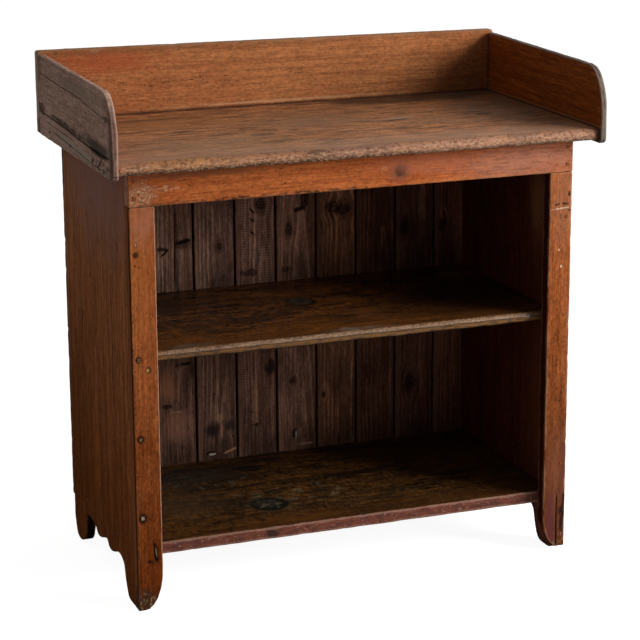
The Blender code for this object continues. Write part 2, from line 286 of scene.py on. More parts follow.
@dataclass
class Board:
    """One worn board, which stands for a node of the frame."""

    node: str
    lie: Lie
    grain: Axis
    show: int
    seed: int
    edges: Edges
    pitch: float = 0.007
    nibble: float = 0.0004
    chips: int = 14
    chip_depth: float = 0.0015
    swell: float = 0.0005
    dents: Sequence[Dent] = ()
    checks: Sequence[Check] = ()
    laps: Sequence[Lap] = ()
    grooves: Sequence[Groove] = ()
    straight_above: float | None = None
    # Darkness of the low rim: painted shade on the cut edges of the feet and arches.
    low_rim_shade: float = 0.0

    def __post_init__(self) -> None:
        """Take the board's place from its node."""
        low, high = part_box(self.node)
        self.low = np.array(low)
        self.high = np.array(high)
        self.along, self.across, self.through = self.lie.value

    def centre(self) -> Spot:
        """Middle of the board in its grain's directions: along, across and through."""
        middle = (self.low + self.high) / 2
        return tuple(float(middle[axis]) for axis in self.grain_axes())

    def grain_axes(self) -> tuple[int, int, int]:
        """The frame's axes along the grain, across it and through the board."""
        other = self.across if self.grain.value == self.along else self.along
        return self.grain.value, other, self.through

    def columns(self) -> Array:
        """Places of the grid's lines along the board, close together at both ends.

        Returns:
            The places, in order.
        """
        start, end = self.low[self.along], self.high[self.along]
        near = [start + share * self.edges.start for share in ROUND_STEPS]
        far = [end - share * self.edges.end for share in reversed(ROUND_STEPS)]
        return np.array(near + filled(np.array(near[-1]), np.array(far[0]), self.pitch) + far[1:])

    def outline(self, columns: Array) -> tuple[Array, Array]:
        """Low and high border of the node at each column, at the wider of two depths.

        Args:
            columns: Places along the board.

        Returns:
            The two borders, as places across the board.
        """
        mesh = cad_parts[self.node].data
        tree = BVHTree.FromPolygons(
            [vertex.co for vertex in mesh.vertices], [tuple(face.vertices) for face in mesh.polygons]
        )
        first, last = self.low[self.along] + OUTLINE_MARGIN, self.high[self.along] - OUTLINE_MARGIN
        thickness = self.high[self.through] - self.low[self.through]
        low_side = (self.low[self.across] - OUTLINE_RUN_UP, 1, min)
        high_side = (self.high[self.across] + OUTLINE_RUN_UP, -1, max)
        borders = []
        for outside, way, widest in (low_side, high_side):
            direction = Vector((0, 0, 0))
            direction[self.across] = way
            border = []
            for place in np.clip(columns, first, last):
                origin = Vector((0, 0, 0))
                origin[self.along] = place
                origin[self.across] = outside
                hits = []
                for share in OUTLINE_DEPTHS:
                    origin[self.through] = self.low[self.through] + share * thickness
                    hits.append(tree.ray_cast(origin, direction)[0][self.across])
                border.append(widest(hits))
            borders.append(np.array(border))
        return borders[0], borders[1]

    def nibbled(self, columns: Array, seed: int) -> Array:
        """How far in an edge is worn at each column: small nibbles, and a few chips.

        Args:
            columns: Places along the board.
            seed: Picks the nibbles.

        Returns:
            Depths, never below 0.
        """
        draw = np.random.default_rng(seed)
        long_pitch, short_pitch = NIBBLE_PITCHES
        worn = self.nibble * (1 + Ripple(seed, long_pitch, 0).at(columns)) / 2
        worn += self.nibble * np.abs(Ripple(seed + 1, short_pitch, 0).at(columns)) / 2
        for _ in range(self.chips):
            middle = draw.uniform(columns[0], columns[-1])
            width = draw.uniform(*CHIP_WIDTHS)
            depth = self.chip_depth * draw.uniform(0.1, 1) ** 2
            worn += depth * np.exp(-(((columns - middle) / width) ** 2))
        return np.maximum(worn, 0)

    def guides(self, columns: Array) -> list[Array]:
        """Lines that the grid's rows have to follow: cracks, laps, housings and the straight start.

        Args:
            columns: Places along the board.

        Returns:
            The lines, each as places across the board, in order.
        """
        lines = []
        if self.straight_above is not None:
            lines.append(self.straight_above)
        for check in self.checks:
            for share in CHECK_STEPS:
                lines.append(check.line(columns) + share * check.width)
        for lap in self.laps:
            lines += [lap.line - lap.beyond * share * lap.radius for share in ROUND_STEPS]
            lines.append(lap.line + lap.beyond * SEAM)
        for groove in self.grooves:
            for level in (groove.low, groove.high):
                lines += [level - SEAM, level + SEAM]
        flat = [np.broadcast_to(line, columns.shape) for line in lines]
        return sorted(flat, key=lambda line: float(line[0]))

    def grid(self) -> Grid:
        """Lay the grid over the board, inside its worn borders.

        Returns:
            The grid.
        """
        columns = self.columns()
        low, high = self.outline(columns)
        low = low + self.nibbled(columns, self.seed)
        high = high - self.nibbled(columns, self.seed + HIGH_EDGE_SEED)
        rows = [low + share * self.edges.low for share in ROUND_STEPS]
        top = [high - share * self.edges.high for share in reversed(ROUND_STEPS)]
        for line in self.guides(columns):
            rows += filled(rows[-1], line, self.pitch)
        under = np.stack(rows, axis=1)
        under = np.minimum(under, top[0][:, None] - SEAM / 10 * np.arange(len(rows), 0, -1))
        over = filled(under[:, -1], top[0], self.pitch) + top[1:]
        across = np.concatenate((under, np.stack(over, axis=1)), axis=1)
        along = np.broadcast_to(columns[:, None], across.shape).copy()
        return Grid(along, across, low, high)

    def reach(self, grid: Grid) -> dict[str, Array]:
        """Distances of the grid's points to the board's four edges.

        Args:
            grid: The board's grid.

        Returns:
            The distances, by the names that the edges have.
        """
        points = np.stack((grid.along.ravel(), grid.across.ravel()), axis=1)
        reach = {"start": grid.along - self.low[self.along], "end": self.high[self.along] - grid.along}
        for side, border in (("low", grid.low), ("high", grid.high)):
            line = np.stack((grid.along[:, 0], border), axis=1)
            reach[side] = distance_to(points, line).reshape(grid.along.shape)
        return reach

    def drops(self, grid: Grid) -> tuple[dict[int, Array], Array, Array]:
        """How far both faces lie below the full thickness, and what the finish needs to know of it.

        Args:
            grid: The board's grid.

        Returns:
            Drops of the two faces by sign, distance to the nearest edge, and the depth of dents and cracks.
        """
        along, across, reach = grid.along, grid.across, self.reach(grid)
        rub = 1 + RUB_SPREAD * Ripple(self.seed + RUB_SEED, RUB_PITCH).at(along, across)
        worn = np.maximum.reduce(
            [rounding(distance, getattr(self.edges, side) * rub) for side, distance in reach.items()]
        )
        arris = np.minimum.reduce(list(reach.values()))
        swell = np.zeros_like(along)
        for seed, pitch, share in SWELL_WAVES:
            swell += share * self.swell * (1 + Ripple(self.seed + seed, pitch).at(along, across)) / 2
        drop = {face: worn + swell for face in (-1, 1)}
        hollow = np.zeros_like(along)
        for dent in self.dents:
            shape = ((along - dent.at[0]) / dent.size[0]) ** 2 + ((across - dent.at[1]) / dent.size[1]) ** 2
            drop[self.show] = drop[self.show] + dent.depth * np.exp(-shape)
            hollow = np.maximum(hollow, dent.shade * np.exp(-shape))
        for check in self.checks:
            amount = check.amount(along, across)
            drop[self.show] = drop[self.show] + check.depth * amount
            hollow = np.maximum(hollow, amount)
        for lap in self.laps:
            past = (across - lap.line) * lap.beyond
            rounded = np.sqrt(drop[lap.face] ** 2 + rounding(-past, lap.radius) ** 2)
            drop[lap.face] = np.where(past > SEAM / 2, lap.depth, rounded)
            arris = np.minimum(arris, np.abs(past))
            if lap.face == self.show:
                hollow = np.where(past > SEAM / 2, 1.0, hollow)
        for groove in self.grooves:
            inside = (across > groove.low) & (across < groove.high)
            drop[-self.show] = np.where(inside, groove.depth, drop[-self.show])
        return drop, arris, hollow

    def build(self, finishes: Sequence[Material], slot: str) -> bpy.types.Object:
        """Make the board's piece, put it in its node's place and dress both of its faces.

        Args:
            finishes: Materials of the show face and the hidden face.
            slot: The record's material slot.

        Returns:
            The new piece.
        """
        grid = self.grid()
        drop, arris, hollow = self.drops(grid)
        faces = self.face_points(grid, drop)
        number = np.arange(grid.along.size).reshape(grid.along.shape)
        ring = np.concatenate((number[:-1, 0], number[-1, :-1], number[:0:-1, -1], number[0, :0:-1]))
        shares = np.arange(1, RIM_LOOPS + 1) / (RIM_LOOPS + 1)
        rim = [faces[1][ring] * (1 - share) + faces[-1][ring] * share for share in shares]
        points = np.concatenate((faces[1], faces[-1], *rim))
        height = np.linalg.norm(faces[1][ring] - faces[-1][ring], axis=1)
        rim_arris = [arris.ravel()[ring] + height * min(share, 1 - share) for share in shares]
        near = np.concatenate((arris.ravel(), arris.ravel(), *rim_arris))
        shown = {self.show: hollow.ravel(), -self.show: np.zeros(number.size)}
        # The low rim's painted shade, carried in the hollow marks with the dirt of dents and cracks.
        dirt = np.where(np.arange(len(ring)) < len(number) - 1, self.low_rim_shade, 0.0)
        depth = np.concatenate((shown[1], shown[-1], *[dirt] * RIM_LOOPS))
        quads, dressing = self.skin(number, ring, arris)
        return self.piece(points, quads, dressing, {"arris": near, "hollow": depth}, finishes, slot)

    def face_points(self, grid: Grid, drop: dict[int, Array]) -> dict[int, Array]:
        """Points of both faces.

        Args:
            grid: The board's grid.
            drop: How far each face lies below the full thickness, by the face's sign.

        Returns:
            The points of each face, by its sign.
        """
        half = (self.high[self.through] - self.low[self.through]) / 2
        middle = self.low[self.through] + half
        room = 2 * half if self.laps else half - LEAST_EDGE
        faces = {}
        for face in (1, -1):
            points = np.zeros((*grid.along.shape, 3))
            points[..., self.along] = grid.along
            points[..., self.across] = grid.across
            points[..., self.through] = middle + face * (half - np.minimum(drop[face], room))
            faces[face] = points.reshape(-1, 3)
        return faces

    def skin(self, number: Array, ring: Array, arris: Array) -> tuple[Array, Array]:
        """The mesh's faces: both faces of the board, and the loops round its rim.

        Args:
            number: Numbers of the grid's points.
            ring: Numbers of the points round the grid's border.
            arris: Distance of each grid point to the nearest edge.

        Returns:
            The faces, and the number of the finish that each one takes.
        """
        top = np.stack((number[:-1, :-1], number[1:, :-1], number[1:, 1:], number[:-1, 1:]), axis=-1)
        top = top.reshape(-1, 4)
        under = top[:, ::-1] + number.size
        loops = [ring]
        for index in range(RIM_LOOPS):
            loops.append(2 * number.size + index * len(ring) + np.arange(len(ring)))
        loops.append(ring + number.size)
        sides = [
            np.stack((upper, lower, np.roll(lower, -1), np.roll(upper, -1)), axis=1)
            for upper, lower in zip(loops, loops[1:])
        ]
        quads = np.concatenate((top, under, *sides))
        if self.lie.turns_left():
            quads = quads[:, ::-1]
        side_of = {self.show: 0, -self.show: 1}
        dressing = np.zeros(len(quads), np.int32)
        dressing[: len(top)] = side_of[1]
        dressing[len(top) : 2 * len(top)] = side_of[-1]
        rubbed = arris.ravel()[top].mean(axis=1) < RUBBED_SHARE * max(astuple(self.edges))
        dressing[: 2 * len(top)][np.concatenate((rubbed, rubbed))] = 0
        return quads, dressing

    def piece(
        self,
        points: Array,
        quads: Array,
        dressing: Array,
        marks: dict[str, Array],
        finishes: Sequence[Material],
        slot: str,
    ) -> bpy.types.Object:
        """Turn the board's arrays into a piece that replaces its node.

        Args:
            points: The mesh's points.
            quads: The mesh's faces.
            dressing: Which finish each face takes.
            marks: Values at the points that the finish reads.
            finishes: Materials of the show face and the hidden face.
            slot: The record's material slot; not used.

        Returns:
            The new piece.
        """
        mesh = bpy.data.meshes.new(f"worn_{self.node}")
        mesh.from_pydata(points, [], quads)
        for material in finishes:
            mesh.materials.append(material)
        mesh.polygons.foreach_set("material_index", dressing)
        mesh.shade_smooth()
        grain = mesh.attributes.new("grain", "FLOAT_VECTOR", "POINT")
        grain.data.foreach_set("vector", points[:, self.grain_axes()].astype(np.float32).ravel())
        for word, values in marks.items():
            mark = mesh.attributes.new(word, "FLOAT", "POINT")
            mark.data.foreach_set("value", values.astype(np.float32))
        piece = bpy.data.objects.new(f"worn_{self.node}", mesh)
        bpy.context.scene.collection.objects.link(piece)
        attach(piece, BODY)
        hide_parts(self.node)
        LOG.info("%s: %d faces", piece.name, len(quads))
        return piece


class Graph:
    """Short words for laying out the nodes of one material."""

    def __init__(self, name: str) -> None:
        """Start a material with its plain shader.

        Args:
            name: Name of the material.
        """
        self.material = bpy.data.materials.new(name)
        self.material.use_nodes = True
        self.tree = self.material.node_tree
        self.shader = self.tree.nodes["Principled BSDF"]

    def feed(self, socket: Socket, value: object) -> None:
        """Link a socket to another one, or set its own value.

        Args:
            socket: The socket that is fed.
            value: Another node's socket, or a plain value.
        """
        if isinstance(value, bpy.types.NodeSocket):
            self.tree.links.new(value, socket)
        else:
            socket.default_value = value

    def add(self, kind: str, feeds: dict[str | int, object], **settings: object) -> bpy.types.Node:
        """Add one node.

        Args:
            kind: Blender's name of the node.
            feeds: What goes into its sockets.
            settings: Its other settings.

        Returns:
            The node.
        """
        node = self.tree.nodes.new(kind)
        for word, value in settings.items():
            setattr(node, word, value)
        for word, value in feeds.items():
            self.feed(node.inputs[word], value)
        return node

    def read(self, word: str, output: str = "Fac") -> Socket:
        """A value that the mesh holds at its points."""
        return self.add("ShaderNodeAttribute", {}, attribute_name=word).outputs[output]

    def math(self, operation: str, first: Value, second: Value = 0.0) -> Socket:
        """One sum of two numbers."""
        return self.add("ShaderNodeMath", {0: first, 1: second}, operation=operation).outputs[0]

    def vector(self, operation: str, first: Socket, second: object) -> Socket:
        """One sum of two vectors."""
        return self.add("ShaderNodeVectorMath", {0: first, 1: second}, operation=operation).outputs[0]

    def scaled(self, vector: Socket, share: Value) -> Socket:
        """A vector or colour times a number."""
        return self.add("ShaderNodeVectorMath", {0: vector, 3: share}, operation="SCALE").outputs[0]

    def length(self, vector: Socket) -> Socket:
        """Length of a vector."""
        return self.add("ShaderNodeVectorMath", {0: vector}, operation="LENGTH").outputs[1]

    def span(self, value: Value, start: Value, end: Value, low: Value = 0.0, high: Value = 1.0) -> Socket:
        """A soft step from low to high, as the value goes from start to end."""
        feeds = {"Value": value, "From Min": start, "From Max": end, "To Min": low, "To Max": high}
        return self.add("ShaderNodeMapRange", feeds, interpolation_type="SMOOTHSTEP").outputs[0]

    def noise(self, place: Socket, rates: Rates, detail: float = 3.0, grit: float = 0.55) -> Socket:
        """Cloudy noise with its own rate in each direction.

        Args:
            place: Where the noise is read.
            rates: Waves to the metre along, across and through the grain.
            detail: How many finer layers it has.
            grit: How strong the finer layers are.

        Returns:
            The noise, between 0 and 1.
        """
        scaled = self.vector("MULTIPLY", place, rates)
        feeds = {"Vector": scaled, "Scale": 1.0, "Detail": detail, "Roughness": grit}
        return self.add("ShaderNodeTexNoise", feeds).outputs[0]

    def mix(self, share: Value, first: object, second: object) -> Socket:
        """A colour between two colours."""
        feeds = {0: share, 6: self.tint(first), 7: self.tint(second)}
        return self.add("ShaderNodeMix", feeds, data_type="RGBA").outputs[2]

    @staticmethod
    def tint(colour: object) -> object:
        """A colour as a socket takes it."""
        return (*colour, 1.0) if isinstance(colour, tuple) else colour

    def ramp(self, value: Socket, stops: Sequence[Place]) -> Socket:
        """A number read off a line through stops.

        Args:
            value: The place on the line, from 0 to 1.
            stops: Places on the line, each with its number.

        Returns:
            The number.
        """
        node = self.add("ShaderNodeValToRGB", {0: value})
        elements = node.color_ramp.elements
        while len(elements) < len(stops):
            elements.new(1.0)
        for element, (place, number) in zip(elements, stops):
            element.position = place
            element.color = (number, number, number, 1.0)
        return node.outputs[0]


# How sharp the edges of crumbs are, and the share of a mark's rate that its ragged edge has along the grain.
CRUMB_EDGE = 0.07
RAGGED_RUN = 0.5
# Noise of the marks, in waves to the metre along, across and through the grain.
GLOOM_RATES = (14.0, 40.0, 40.0)
WOBBLE_RATES = (55.0, 70.0, 70.0)
SAW_DRIFT_RATES = (9.0, 6.0, 6.0)
SAW_PLACE_RATES = (8.0, 26.0, 26.0)


@dataclass
class Surface:
    """A finish while it is being laid: where it is, and what has been laid so far."""

    graph: Graph
    place: Socket
    loose: Socket
    colour: Socket
    height: Value

    def lay(self, mask: Socket, colour: Colour, sunk: float) -> None:
        """Lay a colour where a mask is set, and sink the surface there.

        Args:
            mask: How much of the colour is laid.
            colour: The colour.
            sunk: How deep the surface sinks under it.
        """
        self.colour = self.graph.mix(mask, self.colour, colour)
        if sunk:
            self.height = self.graph.math("SUBTRACT", self.height, self.graph.math("MULTIPLY", mask, sunk))

    def torn(self, level: float, rate: float, run: float) -> Socket:
        """A mask of crumbs: noise above a level, with a rate across the grain and a share of it along."""
        noise = self.graph.noise(self.loose, (rate * run, rate, rate), detail=3.0, grit=0.6)
        return self.graph.span(noise, level, level + CRUMB_EDGE)

    def part(self, way: Part) -> Socket:
        """The place along the grain, across it or through the board."""
        return self.graph.add("ShaderNodeSeparateXYZ", {0: self.place}).outputs[way.value]


@dataclass(frozen=True)
class Patch:
    """A stain, chip, scratch or rubbed spot, at a place along and across the grain."""

    at: Place
    size: Place
    colour: Colour
    share: float = 0.8
    turn: float = 0.0
    ragged: float = 0.25
    rate: float = 90.0
    soft: float = 0.5
    sunk: float = 0.0
    crumbs: float = 0.0
    run: float = 0.6

    def lay(self, surface: Surface) -> None:
        """Lay the patch over a surface.

        Args:
            surface: The finish so far.
        """
        graph = surface.graph
        offset = graph.vector("SUBTRACT", surface.place, (*self.at, 0.0))
        if self.turn:
            feeds = {"Vector": offset, "Angle": -math.radians(self.turn)}
            offset = graph.add("ShaderNodeVectorRotate", feeds, rotation_type="Z_AXIS").outputs[0]
        reach = graph.length(graph.vector("MULTIPLY", offset, (1 / self.size[0], 1 / self.size[1], 0.0)))
        if self.ragged:
            rates = (RAGGED_RUN * self.rate, self.rate, self.rate)
            rough = graph.noise(surface.loose, rates, detail=4.0, grit=0.6)
            shift = graph.math("MULTIPLY", graph.math("SUBTRACT", rough, 0.5), 4 * self.ragged)
            reach = graph.math("ADD", reach, shift)
        mask = graph.span(reach, 1.0, 1.0 - self.soft, 0.0, self.share)
        if self.crumbs:
            mask = graph.math("MULTIPLY", mask, surface.torn(self.crumbs, self.rate, self.run))
        surface.lay(mask, self.colour, self.sunk)


@dataclass(frozen=True)
class Band:
    """Colour that lies past a line along the grain, across it or through the board, such as paint."""

    line: float
    beyond: int
    colour: Colour
    fade: float = 0.002
    share: float = 0.9
    ragged: float = 0.002
    rate: float = 60.0
    sunk: float = 0.0
    crumbs: float = 0.0
    run: float = 0.6
    way: Part = Part.ACROSS

    def lay(self, surface: Surface) -> None:
        """Lay the band over a surface.

        Args:
            surface: The finish so far.
        """
        graph = surface.graph
        rates = (RAGGED_RUN * self.rate, self.rate, self.rate)
        rough = graph.noise(surface.loose, rates, detail=4.0, grit=0.65)
        shift = graph.math("MULTIPLY", graph.math("SUBTRACT", rough, 0.5), 4 * self.ragged)
        past = graph.math("SUBTRACT", surface.part(self.way), self.line)
        past = graph.math("MULTIPLY", past, float(self.beyond))
        mask = graph.span(graph.math("ADD", past, shift), -self.fade, self.fade, 0.0, self.share)
        if self.crumbs:
            mask = graph.math("MULTIPLY", mask, surface.torn(self.crumbs, 2 * self.rate, self.run))
        surface.lay(mask, self.colour, self.sunk)


@dataclass(frozen=True)
class Gloom:
    """A tint laid bit by bit along the grain, from one place to another: dirt, and painted shade."""

    start: float
    end: float
    tint: Colour

    def lay(self, surface: Surface) -> None:
        """Lay the dirt over a surface.

        Args:
            surface: The finish so far.
        """
        graph = surface.graph
        rough = graph.noise(surface.loose, GLOOM_RATES, detail=4.0, grit=0.6)
        shift = graph.math("MULTIPLY", graph.math("SUBTRACT", rough, 0.5), abs(self.end - self.start))
        mask = graph.span(graph.math("ADD", surface.part(Part.ALONG), shift), self.start, self.end)
        tinted = graph.vector("MULTIPLY", surface.colour, self.tint)
        surface.colour = graph.mix(mask, surface.colour, tinted)


@dataclass(frozen=True)
class Knot:
    """A knot that the grain flows round, at a place along and across the grain."""

    at: Place
    radius: float
    heart: Colour
    halo: Colour
    stretch: float = 1.5
    share: float = 0.85

    def reach(self, graph: Graph, place: Socket) -> tuple[Socket, Socket]:
        """How far a place lies from the knot's middle.

        Args:
            graph: The material's nodes.
            place: The place on the board.

        Returns:
            The way from the middle in metres, and its length in radii.
        """
        offset = graph.vector("SUBTRACT", place, (*self.at, 0.0))
        rates = (1 / (self.radius * self.stretch), 1 / self.radius, 0.0)
        return offset, graph.length(graph.vector("MULTIPLY", offset, rates))

    def bend(self, graph: Graph, place: Socket, bent: Socket) -> Socket:
        """Spread the grain's lines round the knot.

        Args:
            graph: The material's nodes.
            place: Straight place on the board.
            bent: Place with the bends made so far.

        Returns:
            The place with this bend as well.
        """
        offset, reach = self.reach(graph, place)
        push = graph.scaled(graph.vector("MULTIPLY", offset, (0.0, 0.8, 0.0)), graph.span(reach, 3.2, 0.6))
        return graph.vector("SUBTRACT", bent, push)

    def lay(self, surface: Surface) -> None:
        """Lay the knot's heart, rings and halo over a surface.

        Args:
            surface: The finish so far.
        """
        graph = surface.graph
        reach = self.reach(graph, surface.place)[1]
        wobble = graph.noise(surface.place, WOBBLE_RATES, detail=4.0, grit=0.6)
        wobble = graph.math("MULTIPLY", graph.math("SUBTRACT", wobble, 0.5), 1.8)
        reach = graph.math("ADD", reach, wobble)
        halo = graph.span(reach, 2.3, 0.9, 0.0, 0.6 * self.share)
        surface.colour = graph.mix(halo, surface.colour, self.halo)
        rings = graph.math("SINE", graph.math("MULTIPLY", reach, 11.0))
        heart = graph.math("MULTIPLY", graph.span(reach, 1.2, 0.8), graph.span(rings, -1.0, 1.0, 0.45, 1.0))
        surface.colour = graph.mix(graph.math("MULTIPLY", heart, self.share), surface.colour, self.heart)
        surface.height = graph.math("SUBTRACT", surface.height, graph.math("MULTIPLY", heart, 0.5))


@dataclass(frozen=True)
class SawMarks:
    """Lines that a saw left across the grain, on both sides of a clear strip."""

    pitch: float
    share: float
    colour: Colour
    middle: float
    clear: float = 0.01

    def lay(self, surface: Surface) -> None:
        """Lay the lines over a surface.

        Args:
            surface: The finish so far.
        """
        graph = surface.graph
        drift = graph.math("MULTIPLY", graph.noise(surface.loose, SAW_DRIFT_RATES, detail=2.0), 4.0)
        turns = graph.math("MULTIPLY", surface.part(Part.ALONG), 2 * math.pi / self.pitch)
        line = graph.span(graph.math("SINE", graph.math("ADD", turns, drift)), 0.0, 0.9)
        off = graph.math("ABSOLUTE", graph.math("SUBTRACT", surface.part(Part.ACROSS), self.middle))
        place = graph.span(graph.noise(surface.loose, SAW_PLACE_RATES, detail=2.0), 0.28, 0.46)
        place = graph.math("MULTIPLY", place, graph.span(off, 0.4 * self.clear, 1.4 * self.clear))
        mask = graph.math("MULTIPLY", graph.math("MULTIPLY", line, place), self.share)
        surface.lay(mask, self.colour, 1.0)


Mark = Patch | Band | Gloom | Knot | SawMarks

# Noise of old pine, in waves to the metre along, across and through the grain.
DRIFT_RATES = (1.6, 7.0, 7.0)
FAINT_RATES = (3.0, 25.0, 25.0)
FIBRE_RATES = (22.0, 330.0, 330.0)
GRIT_RATES = (120.0, 190.0, 190.0)
DIRT_RATES = (7.0, 15.0, 15.0)
DASH_RATES = (42.0, 240.0, 240.0)
DOT_RATES = (190.0, 260.0, 260.0)
WEAR_RATES = (28.0, 70.0, 70.0)
SHEEN_RATES = (9.0, 40.0, 40.0)
# A growth ring from its inner to its outer side: places, and how dark it is there.
RING_STOPS = ((0.0, 0.1), (0.45, 0.0), (0.82, 0.8), (0.92, 1.0), (1.0, 0.1))
SEED_REACH = 40
SHEEN_SPREAD = 0.12


@dataclass(frozen=True)
class Pine:
    """An old pine surface: its wood, its stain, its dirt and its wear."""

    light: Colour
    dark: Colour
    stain: Colour
    worn: Colour
    grime_and_shade: Colour
    ring_pitch: float = 0.0042
    ring_share: float = 0.45
    pith: Place = (0.012, -0.045)
    taper: float = 0.012
    wander: float = 0.012
    streak_share: float = 0.6
    streak_rates: Rates = (3.0, 90.0, 90.0)
    fibre_share: float = 0.4
    grit_share: float = 0.35
    cloud_share: float = 0.6
    cloud_rates: Rates = (4.0, 9.0, 9.0)
    breadth: float = 1.0
    fleck_share: float = 0.8
    fleck_level: float = 0.64
    pit_share: float = 0.85
    pit_level: float = 0.7
    wear_width: float = 0.004
    wear_share: float = 0.6
    wear_even: float = 0.0
    roughness: float = 0.58
    relief: float = 0.0006
    specular: float = 0.1

    def toned(self, tint: Colour) -> "Pine":
        """The same pine, with its wood colours multiplied by a tint."""
        tones = {word: tuple(np.multiply(getattr(self, word), tint)) for word in ("light", "dark", "stain")}
        return replace(self, **tones)

    def dress(self, name: str, board: Board, marks: Sequence[Mark] = ()) -> Material:
        """Make the material of one face of a board.

        Args:
            name: Name of the material.
            board: The board that wears it.
            marks: Knots, stains and other marks of that face.

        Returns:
            The material.
        """
        graph = Graph(name)
        place = graph.read("grain", "Vector")
        bent = place
        for mark in marks:
            if isinstance(mark, Knot):
                bent = mark.bend(graph, place, bent)
        shift = np.random.default_rng(board.seed).uniform(-SEED_REACH, SEED_REACH, 3)
        loose = graph.vector("ADD", bent, tuple(float(x) for x in shift))
        loose = graph.vector("MULTIPLY", loose, (1.0, 1 / self.breadth, 1.0))
        late = self.rings(graph, bent, loose, board.centre())
        surface = Surface(graph, place, loose, *self.wood(graph, loose, late))
        for mark in marks:
            mark.lay(surface)
        self.rub(surface)
        self.shade(surface)
        return graph.material

    def rings(self, graph: Graph, bent: Socket, loose: Socket, centre: Spot) -> Socket:
        """Late wood of the growth rings, round a pith that wanders along the board.

        Args:
            graph: The material's nodes.
            bent: Place with the grain bent round knots.
            loose: The same place, shifted for noise.
            centre: Middle of the board.

        Returns:
            1 on a ring's dark line, 0 in its pale part.
        """
        pith = (centre[0], centre[1] + self.pith[0], centre[2] + self.pith[1])
        near = graph.vector("SUBTRACT", bent, pith)
        slow = graph.vector("MULTIPLY", loose, DRIFT_RATES)
        drift = graph.add("ShaderNodeTexNoise", {"Vector": slow, "Scale": 1.0, "Detail": 2.0}).outputs[1]
        drift = graph.scaled(graph.vector("SUBTRACT", drift, (0.5, 0.5, 0.5)), 2 * self.wander)
        moved = graph.add("ShaderNodeSeparateXYZ", {0: graph.vector("ADD", near, drift)}).outputs
        rise = graph.math("ADD", moved[2], graph.math("MULTIPLY", moved[0], self.taper))
        flat = graph.add("ShaderNodeCombineXYZ", {1: moved[1], 2: rise}).outputs[0]
        rings = graph.math("FRACT", graph.math("DIVIDE", graph.length(flat), self.ring_pitch))
        return graph.ramp(rings, RING_STOPS)

    def wood(self, graph: Graph, loose: Socket, late: Socket) -> tuple[Socket, Socket]:
        """Colour and height of the stained wood, before its marks and wear.

        Args:
            graph: The material's nodes.
            loose: Place on the board, shifted for noise.
            late: Dark lines of the rings.

        Returns:
            The colour and the height.
        """
        faint = graph.span(graph.noise(loose, FAINT_RATES, detail=2.0), 0.3, 0.65, 0.25, 1.0)
        lines = graph.math("MULTIPLY", graph.math("MULTIPLY", late, faint), self.ring_share)
        colour = graph.mix(lines, self.light, self.dark)
        streaks = graph.span(graph.noise(loose, self.streak_rates, detail=5.0, grit=0.7), 0.47, 0.6)
        colour = graph.mix(graph.math("MULTIPLY", streaks, self.streak_share), colour, self.dark)
        clouds = graph.span(graph.noise(loose, self.cloud_rates, detail=6.0, grit=0.65), 0.44, 0.62)
        colour = graph.mix(graph.math("MULTIPLY", clouds, self.cloud_share), colour, self.stain)
        fibre = graph.noise(loose, FIBRE_RATES, detail=4.0, grit=0.65)
        tone = graph.span(fibre, 0.28, 0.72, 1 - self.fibre_share, 1 + self.fibre_share)
        grit = graph.noise(loose, GRIT_RATES, detail=5.0, grit=0.7)
        gritty = graph.span(grit, 0.3, 0.7, 1 - self.grit_share, 1 + self.grit_share)
        tone = graph.math("MULTIPLY", tone, gritty)
        colour = graph.scaled(colour, tone)
        dirty = graph.span(graph.noise(loose, DIRT_RATES, detail=4.0), 0.38, 0.66, -0.05, 0.05)
        dashes = graph.math("ADD", graph.noise(loose, DASH_RATES, detail=3.0), dirty)
        flecks = graph.span(dashes, self.fleck_level, self.fleck_level + 0.06, 0.0, self.fleck_share)
        dots = graph.math("ADD", graph.noise(loose, DOT_RATES, detail=1.0), dirty)
        pits = graph.span(dots, self.pit_level, self.pit_level + 0.05, 0.0, self.pit_share)
        holes = graph.math("MAXIMUM", flecks, pits)
        colour = graph.mix(holes, colour, self.grime_and_shade)
        height = graph.math("ADD", graph.math("MULTIPLY", late, 0.35), graph.math("MULTIPLY", fibre, 0.8))
        return colour, graph.math("SUBTRACT", height, graph.math("MULTIPLY", holes, 1.5))

    def rub(self, surface: Surface) -> None:
        """Rub the edges pale, fill cracks with dirt, and darken a board's low rim with painted shade.

        Args:
            surface: The finish so far.
        """
        graph = surface.graph
        arris = graph.read("arris")
        uneven = graph.noise(surface.loose, WEAR_RATES, detail=5.0, grit=0.65)
        least, most = 0.1 + 0.7 * self.wear_even, 1.9 - 0.7 * self.wear_even
        width = graph.math("MULTIPLY", graph.span(uneven, 0.3, 0.7, least, most), self.wear_width)
        mask = graph.span(graph.math("DIVIDE", arris, width), 1.0, 0.25, 0.0, self.wear_share)
        surface.colour = graph.mix(mask, surface.colour, self.worn)
        # Dirt in dents and cracks, and painted shade on a low rim.
        dirt = graph.span(graph.read("hollow"), 0.12, 0.55, 0.0, 0.95)
        surface.colour = graph.mix(dirt, surface.colour, self.grime_and_shade)

    def shade(self, surface: Surface) -> None:
        """Give the finished colour and height to the shader.

        Args:
            surface: The whole finish.
        """
        graph = surface.graph
        sheen = graph.noise(surface.loose, SHEEN_RATES, detail=4.0, grit=0.6)
        rough = graph.span(sheen, 0.25, 0.75, self.roughness - SHEEN_SPREAD, self.roughness + SHEEN_SPREAD)
        feeds = {"Strength": 1.0, "Distance": self.relief, "Height": surface.height}
        bump = graph.add("ShaderNodeBump", feeds)
        graph.feed(graph.shader.inputs["Base Color"], surface.colour)
        graph.feed(graph.shader.inputs["Roughness"], rough)
        graph.feed(graph.shader.inputs["Normal"], bump.outputs[0])
        graph.shader.inputs["Specular IOR Level"].default_value = self.specular


